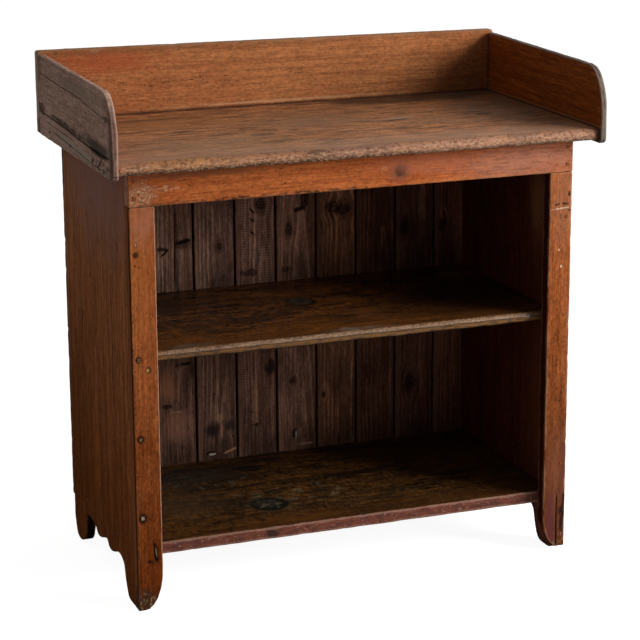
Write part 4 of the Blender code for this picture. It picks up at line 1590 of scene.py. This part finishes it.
@dataclass
class Shelves:
    """The middle shelf with its rounded nose, and the floor board with its painted edge."""

    shelf_edges: Edges = Edges(start=0.0008, end=0.0008, low=0.0085, high=0.0008)
    floor_edges: Edges = Edges(start=0.0008, end=0.0008, low=0.0026, high=0.0008)

    def build(self) -> None:
        """Make and dress both boards."""
        self.build_shelf()
        self.build_floor()

    def build_shelf(self) -> None:
        """Make the middle shelf, with its worn nose and the ring that a pot left."""
        shelf = Board(
            "middle_shelf", Lie.FLAT, Axis.X, show=1, seed=51, edges=self.shelf_edges, pitch=0.008,
            nibble=0.0003, chips=26, chip_depth=0.0008,
        )
        front = float(shelf.low[1])
        base = float(shelf.low[2])
        marks = (
            Band(front + 0.1, -1, (0.15, 0.052, 0.009), fade=0.08, share=0.4, ragged=0.03, rate=20),
            Patch((-0.36, 0.15), (0.28, 0.13), (0.012, 0.006, 0.005), 0.75, soft=0.9, rate=30),
            Patch((-0.22, 0.0), (0.26, 0.16), BLACK_MARK, 0.9, crumbs=0.54, rate=230, run=0.2),
            # Painted sheen: pale grey dashes over the dark left part.
            Patch((-0.22, 0.03), (0.24, 0.14), (0.055, 0.042, 0.036), 0.5, crumbs=0.6, rate=190, run=0.2),
            # Painted shadow over the right half, where the right side and stile shade the shelf.
            Patch((0.32, 0.0), (0.32, 0.21), (0.009, 0.004, 0.002), 0.78, ragged=0.1, rate=30, soft=0.8),
            Patch((-0.013, 0.069), (0.036, 0.04), (0.003, 0.003, 0.002), 0.95, ragged=0.06, soft=0.2),
            Patch((-0.014, 0.072), (0.031, 0.032), (0.042, 0.031, 0.018), 0.85, ragged=0.12, soft=0.3),
            Patch((-0.014, 0.072), (0.028, 0.028), (0.01, 0.008, 0.006), 0.85, ragged=0.2, rate=220,
                  crumbs=0.5, run=0.3),
            Patch((-0.33, -0.168), (0.07, 0.02), (0.16, 0.11, 0.075), 0.5, ragged=0.6, rate=60, soft=0.9),
            Patch((0.01, -0.17), (0.1, 0.022), (0.22, 0.165, 0.125), 0.55, ragged=0.6, rate=60, soft=0.9),
            # Pale upper nose: worn golden wood and pale crumbs, with painted highlights of the light on the
            # rounded edge.
            Band(front + 0.009, -1, (0.195, 0.112, 0.064), fade=0.004, share=0.88, ragged=0.003, rate=50),
            Band(front + 0.009, -1, (0.4, 0.255, 0.165), fade=0.003, share=0.55, rate=210, crumbs=0.48,
                 run=0.5),
            Band(front + 0.01, -1, (0.055, 0.028, 0.017), fade=0.003, share=0.6, ragged=0.003, rate=160,
                 crumbs=0.57, run=0.3),
            Band(base + 0.0135, -1, (0.035, 0.017, 0.009), fade=0.001, share=0.95, ragged=0.0008,
                 way=Part.THROUGH),
            Band(base + 0.0112, -1, (0.175, 0.074, 0.018), fade=0.0008, share=0.95, ragged=0.001,
                 way=Part.THROUGH),
            Band(base + 0.0122, -1, (0.04, 0.02, 0.009), fade=0.0008, share=0.75, ragged=0.001, rate=120,
                 crumbs=0.5, run=0.2, way=Part.THROUGH),
            Band(base + 0.0035, -1, (0.03, 0.015, 0.008), fade=0.0016, ragged=0.0008, way=Part.THROUGH),
        )
        shelf.build((SHELF_PINE.dress("middle_shelf_face", shelf, marks),
                     INSIDE_PINE.dress("middle_shelf_underside", shelf)), "shelves")

    def build_floor(self) -> None:
        """Make the floor board, with its rings, its dust and its painted front edge."""
        floor = Board(
            "floor_board", Lie.FLAT, Axis.X, show=1, seed=52, edges=self.floor_edges, pitch=0.008,
            chips=40, chip_depth=0.0012,
        )
        front = float(floor.low[1])
        marks = (
            Patch((-0.25, 0.16), (0.18, 0.1), (0.024, 0.021, 0.018), 0.6, soft=0.9),
            Patch((-0.34, 0.0), (0.16, 0.14), (0.075, 0.042, 0.02), 0.45, soft=0.9, rate=30),
            Patch((-0.05, 0.0), (0.18, 0.09), (0.12, 0.088, 0.05), 0.6, crumbs=0.58, rate=150, run=0.25),
            Patch((-0.08, -0.02), (0.16, 0.08), (0.17, 0.12, 0.055), 0.75, crumbs=0.6, rate=260, run=0.1),
            Patch((-0.22, 0.1), (0.14, 0.09), (0.09, 0.08, 0.065), 0.5, crumbs=0.6, rate=150, run=0.3),
            Patch((-0.131, -0.06), (0.05, 0.052), (0.09, 0.068, 0.032), 0.6, ragged=0.2, rate=60, soft=0.4),
            Patch((-0.131, -0.06), (0.044, 0.045), (0.003, 0.003, 0.003), 0.95, ragged=0.06, soft=0.2),
            Patch((-0.133, -0.054), (0.034, 0.031), (0.022, 0.019, 0.012), 0.85, ragged=0.12, soft=0.4),
            Patch((-0.131, -0.06), (0.036, 0.036), (0.11, 0.088, 0.05), crumbs=0.53, rate=260, run=0.25),
            Patch((-0.098, 0.167), (0.035, 0.022), (0.005, 0.004, 0.003), 0.85, turn=-25, ragged=0.4,
                  rate=40),
            Band(front + 0.06, -1, (0.075, 0.025, 0.005), fade=0.05, share=0.4, ragged=0.03, rate=20),
            Patch((-0.1, front + 0.03), (0.16, 0.04), (0.12, 0.04, 0.007), 0.4, ragged=0.4, rate=30,
                  soft=0.9),
            Patch((0.24, front + 0.03), (0.22, 0.06), (0.03, 0.01, 0.003), 0.5, ragged=0.2, rate=30,
                  soft=0.9),
            Patch((-0.2, front + 0.04), (0.25, 0.05), BLACK_MARK, crumbs=0.58, rate=150, run=0.25),
            Band(front + 0.0022, -1, RED_PAINT, fade=0.001, share=0.92, ragged=0.0006, rate=90),
            Band(front + 0.002, -1, (0.06, 0.024, 0.018), fade=0.001, share=0.6, ragged=0.001, rate=45,
                 crumbs=0.5, run=0.4),
            Band(front + 0.002, -1, (0.36, 0.2, 0.14), fade=0.001, share=0.6, ragged=0.001, rate=110,
                 crumbs=0.6),
            Band(front + 0.002, -1, DARK_MARK, fade=0.001, share=0.8, ragged=0.001, crumbs=0.62),
            Patch((-0.173, front), (0.014, 0.01), DARK_MARK, 0.9, ragged=0.5),
        )
        floor.build((FLOOR_PINE.dress("floor_board_face", floor, marks),
                     INSIDE_PINE.dress("floor_board_underside", floor)), "shelves")


HEART = (0.014, 0.008, 0.006)
HALO = (0.06, 0.027, 0.018)
# Soot, also laid as painted shade at the foot of the back boards' bays.
SOOT_AND_SHADE = (0.016, 0.009, 0.007)

# Marks of the back boards' faces, by the boards' numbers from the left.
BACK_MARKS: dict[int, tuple[Mark, ...]] = {
    3: (
        Patch((0.21, -0.224), (0.05, 0.045), (0.34, 0.15, 0.095), 0.6, soft=0.8),
        Patch((0.3, -0.245), (0.06, 0.03), (0.46, 0.19, 0.1), 0.65, soft=0.9),
        Patch((0.33, -0.19), (0.05, 0.02), SOOT_AND_SHADE, 0.7, soft=0.9),
        Patch((0.589, -0.247), (0.014, 0.003), BLACK_MARK, 0.95, turn=48, sunk=2.0),
        Patch((0.598, -0.252), (0.006, 0.016), BLACK_MARK, 0.85, ragged=0.5),
        Patch((0.606, -0.205), (0.013, 0.024), HALO, 0.7, ragged=0.5),
        Patch((0.611, -0.205), (0.0055, 0.018), BLACK_MARK, 0.95, turn=-10, ragged=0.5, sunk=1.0),
        Patch((0.345, -0.208), (0.007, 0.018), BLACK_MARK, 0.9, ragged=0.6),
        Patch((0.255, -0.247), (0.008, 0.014), BLACK_MARK, ragged=0.5),
        Patch((0.241, -0.228), (0.003, 0.018), PALE_GRAIN, 0.5, ragged=0.6),
    ),
    4: (
        Knot((0.593, -0.126), 0.006, HEART, HALO, stretch=1.6),
        Patch((0.64, -0.124), (0.035, 0.0016), PALE_GRAIN, 0.5),
        Patch((0.284, -0.134), (0.024, 0.002), PALE_GRAIN),
        Patch((0.232, -0.136), (0.026, 0.0024), PALE_GRAIN, 0.7),
        Patch((0.216, -0.132), (0.012, 0.012), PALE_GRAIN, 0.45),
        Patch((0.192, -0.148), (0.022, 0.022), (0.022, 0.015, 0.016), 0.9, soft=0.7),
        Patch((0.198, -0.106), (0.02, 0.018), (0.026, 0.018, 0.018), 0.85, soft=0.7),
        Patch((0.187, -0.127), (0.026, 0.004), (0.4, 0.185, 0.12), 0.7, ragged=0.4),
        Patch((0.139, -0.153), (0.006, 0.014), BLACK_MARK, 0.95, ragged=0.5),
        Patch((0.137, -0.15), (0.003, 0.009), (0.6, 0.48, 0.36), ragged=0.6, rate=260),
        Patch((0.141, -0.108), (0.003, 0.02), (0.5, 0.25, 0.14), turn=-20),
    ),
    5: (
        SawMarks(pitch=0.0055, share=0.45, colour=(0.045, 0.022, 0.015), middle=-0.048),
        Patch((0.25, -0.048), (0.1, 0.008), PALE_GRAIN, 0.35, soft=0.9),
        Patch((0.585, -0.024), (0.055, 0.014), SOOT_AND_SHADE, 0.5, soft=0.9),
        Knot((0.678, -0.032), 0.01, HEART, HALO, stretch=1.2),
        Patch((0.664, -0.052), (0.009, 0.0026), BLACK_MARK, 0.95, turn=-45, sunk=2.0),
        Patch((0.644, -0.052), (0.009, 0.0026), BLACK_MARK, 0.95, turn=-45, sunk=2.0),
        Patch((0.616, -0.052), (0.008, 0.003), BLACK_MARK, 0.95, turn=-45, sunk=2.0),
        Patch((0.531, -0.06), (0.01, 0.02), BLACK_MARK, 0.7, ragged=0.5),
        Patch((0.318, -0.014), (0.024, 0.015), (0.016, 0.012, 0.014), 0.85, ragged=0.4),
        Patch((0.193, -0.047), (0.0022, 0.011), BLACK_MARK),
        Patch((0.191, -0.047), (0.008, 0.003), BLACK_MARK),
    ),
    6: (
        Knot((0.678, 0.067), 0.011, HEART, HALO, stretch=1.2),
        Patch((0.661, 0.056), (0.008, 0.017), BLACK_MARK, 0.95, turn=-15, ragged=0.4),
        Knot((0.617, 0.029), 0.007, HEART, HALO, stretch=2.0),
        Patch((0.53, 0.025), (0.008, 0.014), BLACK_MARK, 0.6, ragged=0.5),
        Patch((0.3, 0.049), (0.04, 0.0018), PALE_GRAIN, 0.6, turn=-4),
        Patch((0.22, 0.064), (0.07, 0.0018), PALE_GRAIN, 0.6),
        Knot((0.282, 0.035), 0.006, HEART, HALO, stretch=1.2),
        Patch((0.164, 0.041), (0.015, 0.008), BLACK_MARK, 0.95, ragged=0.4),
        Patch((0.159, 0.043), (0.012, 0.0028), (0.5, 0.42, 0.36), ragged=0.5, rate=200),
        Patch((0.136, 0.065), (0.0032, 0.028), (0.5, 0.3, 0.2), ragged=0.5),
    ),
    7: (
        Knot((0.658, 0.131), 0.014, HEART, HALO, stretch=1.0),
        Knot((0.653, 0.157), 0.013, HEART, HALO, stretch=1.0),
        Knot((0.242, 0.107), 0.004, HEART, HALO, stretch=1.4),
    ),
    9: (
        Knot((0.6, 0.3), 0.012, HEART, HALO, stretch=1.4),
        Knot((0.25, 0.31), 0.012, HEART, HALO, stretch=1.4),
    ),
    10: (
        Knot((0.6, 0.385), 0.01, HEART, HALO, stretch=1.4),
        Patch((0.33, 0.385), (0.07, 0.02), (0.36, 0.14, 0.07), 0.5, soft=0.9),
    ),
}


@dataclass
class BackWall:
    """The ship-lapped back boards, the rail that holds their tops, and their nails."""

    edges: Edges = Edges(start=0.0015, end=0.001, low=0.001, high=0.001)
    outer_edge: float = 0.0018
    rail_edges: Edges = Edges(start=0.0008, end=0.0008, low=0.0015, high=0.001)
    count: int = 10
    lap: float = 0.008
    gap: float = 0.005
    fit: float = 0.0003
    split_board: int = 3
    split: Check = Check(((0.515, -0.226), (0.69, -0.2225)), width=0.0008, depth=0.003)
    # Rows of soot and painted shade at the foot of each bay, as level and reach, and how many boards from
    # the left are darker low down.
    soot_and_shade_levels: tuple[Place, ...] = ((0.5, 0.095), (0.115, 0.11))
    soot_and_shade_boards: int = 5
    knot_levels: tuple[Place, ...] = ((0.16, 0.44), (0.54, 0.78))
    knot_margins: Place = (0.03, 0.025)
    knot_radii: Place = (0.004, 0.01)
    rust: Colour = (0.085, 0.036, 0.016)
    rust_size: Place = (0.02, 0.006)
    rust_run: float = 0.007
    board_seed: int = 60
    nail_seed: int = 300
    rear_seed: int = 330
    twist_seed: int = 360
    tone_seed: int = 390
    rear_tones: Place = (0.75, 1.2)
    nailed_to: tuple[str, ...] = ("back_rail", "middle_shelf", "floor_board")
    nail_shares: tuple[float, ...] = (0.22, 0.78)
    nail_stray: float = 0.004
    nail_radius: float = 0.0038
    nail_crown: float = 0.0026
    nail_depth: float = 0.002
    nail_proud: float = 0.0007
    nail_rubbed: float = 0.0004
    # Tints of the boards' faces from the left: their own tones, with painted light that lifts the middle
    # boards and lowers the right ones.
    tones: tuple[Colour, ...] = (
        (1.0, 1.0, 1.0), (1.1, 1.25, 1.35), (1.15, 1.3, 1.4), (1.22, 1.44, 1.58), (1.58, 1.76, 1.95),
        (1.78, 1.95, 2.1), (1.8, 1.8, 1.6), (0.95, 0.85, 0.8), (0.85, 0.75, 0.8), (0.95, 0.8, 0.8),
    )

    def build(self) -> None:
        """Make and dress the boards, their rail and their nails."""
        draw = np.random.default_rng(self.tone_seed)
        for number in range(1, self.count + 1):
            self.build_board(number, float(draw.uniform(*self.rear_tones)))
        rail = Board("back_rail", Lie.ACROSS, Axis.X, show=-1, seed=75, edges=self.rail_edges, pitch=0.01)
        rail.build((INSIDE_PINE.dress("back_rail_face", rail),
                    INSIDE_PINE.dress("back_rail_rear", rail)), "back_boards")
        self.drive_nails()

    def laps(self, number: int) -> list[Lap]:
        """Rebates that one board has for its neighbours.

        Args:
            number: The board, from 1.

        Returns:
            The rebates; the outer boards have one.
        """
        low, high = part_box(self.node(number))
        depth = (high.y - low.y) / 2 + self.fit / 2
        found = []
        if number < self.count:
            found.append(Lap(high.x - self.lap - self.gap, beyond=1, face=-1, depth=depth))
        if number > 1:
            found.append(Lap(low.x + self.lap + self.fit, beyond=-1, face=1, depth=depth))
        return found

    def build_board(self, number: int, rear_tone: float) -> None:
        """Make and dress one board.

        Args:
            number: The board, from 1.
            rear_tone: How light the wood of its rear is.
        """
        node = self.node(number)
        low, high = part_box(node)
        board = Board(
            node, Lie.STANDING, Axis.Z, show=-1, seed=self.board_seed + number,
            edges=replace(self.edges, low=self.outer_edge) if number == 1 else self.edges,
            pitch=0.008, laps=self.laps(number), checks=(self.split,) if number == self.split_board else (),
        )
        pine = BACK_PINE.toned(self.tones[number - 1])
        raw = RAW_PINE.toned((rear_tone,) * 3)
        board.build((pine.dress(f"{node}_face", board, self.marks(number, (low.x + high.x) / 2)),
                     raw.dress(f"{node}_rear", board, self.rear_marks(number))), "back_boards")

    @staticmethod
    def node(number: int) -> str:
        """Name of one board in the frame, counted from 1 at the left."""
        return f"back_board_{number:02d}"

    def marks(self, number: int, middle: float) -> Sequence[Mark]:
        """Knots, stains and saw marks of one board counted from the left, under rows of soot and painted
        shade.

        Args:
            number: The board, from 1.
            middle: Where the board's middle lies across it.

        Returns:
            Its marks.
        """
        # Soot and painted shade: dark rows at the foot of each bay, and a darker lower bay on the left
        # boards.
        soot_and_shade = [
            Patch((level, middle), (reach, 0.12), SOOT_AND_SHADE, 0.6, ragged=0.1, soft=0.9)
            for level, reach in self.soot_and_shade_levels
        ]
        if number <= self.soot_and_shade_boards:
            soot_and_shade.append(Gloom(0.5, 0.44, (0.7, 0.66, 0.66)))
        return (*soot_and_shade, *BACK_MARKS.get(number, ()))

    def nail_places(self, number: int) -> list[Place]:
        """Where the nails of one board go in, along and across it.

        Args:
            number: The board, from 1.

        Returns:
            Two places for each piece that the board is nailed to.
        """
        draw = np.random.default_rng(self.nail_seed + number)
        low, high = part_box(self.node(number))
        places = []
        for node in self.nailed_to:
            level = sum(corner.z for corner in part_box(node)) / 2
            for share in self.nail_shares:
                across = low.x + self.lap + share * (high.x - low.x - self.lap)
                stray = draw.uniform(-self.nail_stray, self.nail_stray, 2)
                places.append((level + float(stray[0]), across + float(stray[1])))
        return places

    def rear_marks(self, number: int) -> Sequence[Mark]:
        """Two knots, dirt at both ends and rust under the nails, on the rear of one board.

        Args:
            number: The board, from 1.

        Returns:
            The marks.
        """
        draw = np.random.default_rng(self.rear_seed + number)
        low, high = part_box(self.node(number))
        left, right = low.x + self.knot_margins[0], high.x - self.knot_margins[1]
        marks = [Gloom(0.26, 0.08, (0.62, 0.6, 0.58)), Gloom(0.72, 0.86, (0.75, 0.72, 0.7))]
        levels = [float(draw.uniform(*span)) for span in self.knot_levels]
        for level in levels:
            across = float(draw.uniform(left, right))
            radius = float(draw.uniform(*self.knot_radii))
            marks.append(Knot((level, across), radius, (0.05, 0.026, 0.014), (0.15, 0.085, 0.048)))
        for along, across in self.nail_places(number):
            spot = (along - self.rust_run, across)
            marks.append(Patch(spot, self.rust_size, self.rust, 0.6, ragged=0.4))
        return marks

    def drive_nails(self) -> None:
        """Make the heads of all the boards' nails, seated in the boards' rear."""
        draw = np.random.default_rng(self.twist_seed)
        heads = bmesh.new()
        for number in range(1, self.count + 1):
            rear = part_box(self.node(number))[1].y
            for along, across in self.nail_places(number):
                place = Matrix.Translation((across, rear + self.nail_proud - self.nail_depth / 2, along))
                twist = Matrix.Rotation(float(draw.uniform(0, math.pi)), 4, "Y")
                bmesh.ops.create_cone(
                    heads, cap_ends=True, segments=4, radius1=self.nail_radius, radius2=self.nail_crown,
                    depth=self.nail_depth, matrix=place @ twist @ Matrix.Rotation(-math.pi / 2, 4, "X"),
                )
        bmesh.ops.bevel(heads, geom=heads.edges[:], offset=self.nail_rubbed, segments=2, affect="EDGES")
        mesh = bpy.data.meshes.new("back_board_nails")
        heads.to_mesh(mesh)
        heads.free()
        mesh.shade_smooth()
        mesh.materials.append(RUSTY_IRON.dress())
        piece = bpy.data.objects.new("back_board_nails", mesh)
        bpy.context.scene.collection.objects.link(piece)
        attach(piece, BODY)
        LOG.info("%s: %d faces", piece.name, len(mesh.polygons))


@dataclass
class Nails:
    """The iron nails, from bare to painted over, by the starts of their names."""

    irons: tuple[tuple[str, Iron], ...] = (
        ("stile_nail_left_1", BARE_IRON), ("stile_nail_left_4", STAINED_IRON),
        ("stile_nail_left", DULL_IRON), ("floor_board", STAINED_IRON), ("middle_shelf", STAINED_IRON),
        ("gallery_end_left", STAINED_IRON), ("", PAINTED_IRON),
    )

    def build(self) -> None:
        """Dress every nail of the frame with the first iron that its name calls for."""
        dressed = {iron: iron.dress() for iron in dict.fromkeys(iron for _, iron in self.irons)}
        for name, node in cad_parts.items():
            if "_nail_" not in name:
                continue
            iron = next(iron for start, iron in self.irons if name.startswith(start))
            node.data.materials.clear()
            node.data.materials.append(dressed[iron])
            LOG.info("%s: dressed in %s iron", name, iron.word)


@dataclass(frozen=True)
class PhotoCamera:
    """The camera, at the photograph's place and angle."""

    place: Spot = (-1.5898, -4.1699, 1.6782)
    turn: float = 20.917
    tilt: float = 14.9859
    roll: float = -0.2981
    lens: float = 127.72
    sensor: float = 36.0

    def set_up(self) -> None:
        """Make the camera and look through it."""
        turn, tilt, roll = (math.radians(angle) for angle in (self.turn, self.tilt, self.roll))
        ahead = Vector((math.sin(turn) * math.cos(tilt), math.cos(turn) * math.cos(tilt), -math.sin(tilt)))
        level = ahead.cross(Vector((0, 0, 1))).normalized()
        above = level.cross(ahead)
        right = level * math.cos(roll) + above * math.sin(roll)
        up = above * math.cos(roll) - level * math.sin(roll)
        lens = bpy.data.cameras.new("photo_camera")
        lens.lens = self.lens
        lens.sensor_width = self.sensor
        lens.dof.use_dof = False
        camera = bpy.data.objects.new("photo_camera", lens)
        facing = Matrix((right, up, -ahead)).transposed().to_4x4()
        camera.matrix_world = Matrix.Translation(self.place) @ facing
        bpy.context.scene.collection.objects.link(camera)
        bpy.context.scene.camera = camera


@dataclass(frozen=True)
class Studio:
    """A white studio: a soft key lamp from the right, an even sky and a pale floor."""

    key_place: Spot = (2.67, -2.08, 1.83)
    key_aim: Spot = (0.0, 0.0, 0.6)
    key_size: float = 1.75
    key_power: float = 170.0
    sky: float = 0.2
    floor_reach: float = 40.0
    floor_level: float = -0.0004
    floor_colour: Colour = (0.45, 0.45, 0.45)
    floor_glow: float = 0.93

    def set_up(self) -> None:
        """Make the lamp, the sky and the floor."""
        self.hang_lamp()
        self.open_sky()
        self.lay_floor()

    def hang_lamp(self) -> None:
        """Make the key lamp and aim it at the cabinet."""
        lamp = bpy.data.lights.new("key_lamp", "AREA")
        lamp.shape = "SQUARE"
        lamp.size = self.key_size
        lamp.energy = self.key_power
        stand = bpy.data.objects.new("key_lamp", lamp)
        stand.location = self.key_place
        way = Vector(self.key_aim) - Vector(self.key_place)
        stand.rotation_euler = way.to_track_quat("-Z", "Y").to_euler()
        bpy.context.scene.collection.objects.link(stand)

    @staticmethod
    def seen(tree: bpy.types.NodeTree) -> Socket:
        """Tell rays that look at the background from the light's own rays.

        Args:
            tree: The nodes that ask.

        Returns:
            1 on a ray that looks, straight or in a reflection, and 0 on the others.
        """
        path = tree.nodes.new("ShaderNodeLightPath")
        total = path.outputs["Is Camera Ray"]
        for word in ("Is Glossy Ray", "Is Transmission Ray"):
            either = tree.nodes.new("ShaderNodeMath")
            either.operation = "MAXIMUM"
            tree.links.new(total, either.inputs[0])
            tree.links.new(path.outputs[word], either.inputs[1])
            total = either.outputs[0]
        return total

    def open_sky(self) -> None:
        """Make an even sky that looks white and lights softly."""
        world = bpy.data.worlds.new("studio_sky")
        world.use_nodes = True
        bpy.context.scene.world = world
        tree = world.node_tree
        strength = tree.nodes.new("ShaderNodeMapRange")
        tree.links.new(self.seen(tree), strength.inputs["Value"])
        strength.inputs["To Min"].default_value = self.sky
        strength.inputs["To Max"].default_value = 1.0
        background = tree.nodes["Background"]
        background.inputs["Color"].default_value = (1.0, 1.0, 1.0, 1.0)
        tree.links.new(strength.outputs[0], background.inputs["Strength"])

    def lay_floor(self) -> None:
        """Make a floor that looks white and keeps the cabinet's shadow."""
        reach = self.floor_reach
        mesh = bpy.data.meshes.new("studio_floor")
        corners = [(-reach, -reach), (reach, -reach), (reach, reach), (-reach, reach)]
        mesh.from_pydata([(x, y, self.floor_level) for x, y in corners], [], [(0, 1, 2, 3)])
        graph = Graph("studio_floor")
        glow = graph.math("MULTIPLY", self.seen(graph.tree), self.floor_glow)
        graph.shader.inputs["Base Color"].default_value = (*self.floor_colour, 1.0)
        graph.shader.inputs["Roughness"].default_value = 1.0
        graph.shader.inputs["Specular IOR Level"].default_value = 0.0
        graph.shader.inputs["Emission Color"].default_value = (1.0, 1.0, 1.0, 1.0)
        graph.feed(graph.shader.inputs["Emission Strength"], glow)
        mesh.materials.append(graph.material)
        floor = bpy.data.objects.new("studio_floor", mesh)
        bpy.context.scene.collection.objects.link(floor)


def main() -> None:
    """Build and dress the cabinet, and set it in its studio."""
    logging.basicConfig(level=logging.INFO, format="%(name)s: %(message)s")
    bpy.context.scene.view_settings.view_transform = "Standard"
    PhotoCamera().set_up()
    Studio().set_up()
    for assembly in (FaceFrame(), BootjackSides(), Counter(), Gallery(), Shelves(), BackWall(), Nails()):
        assembly.build()


if __name__ == "__main__":
    main()
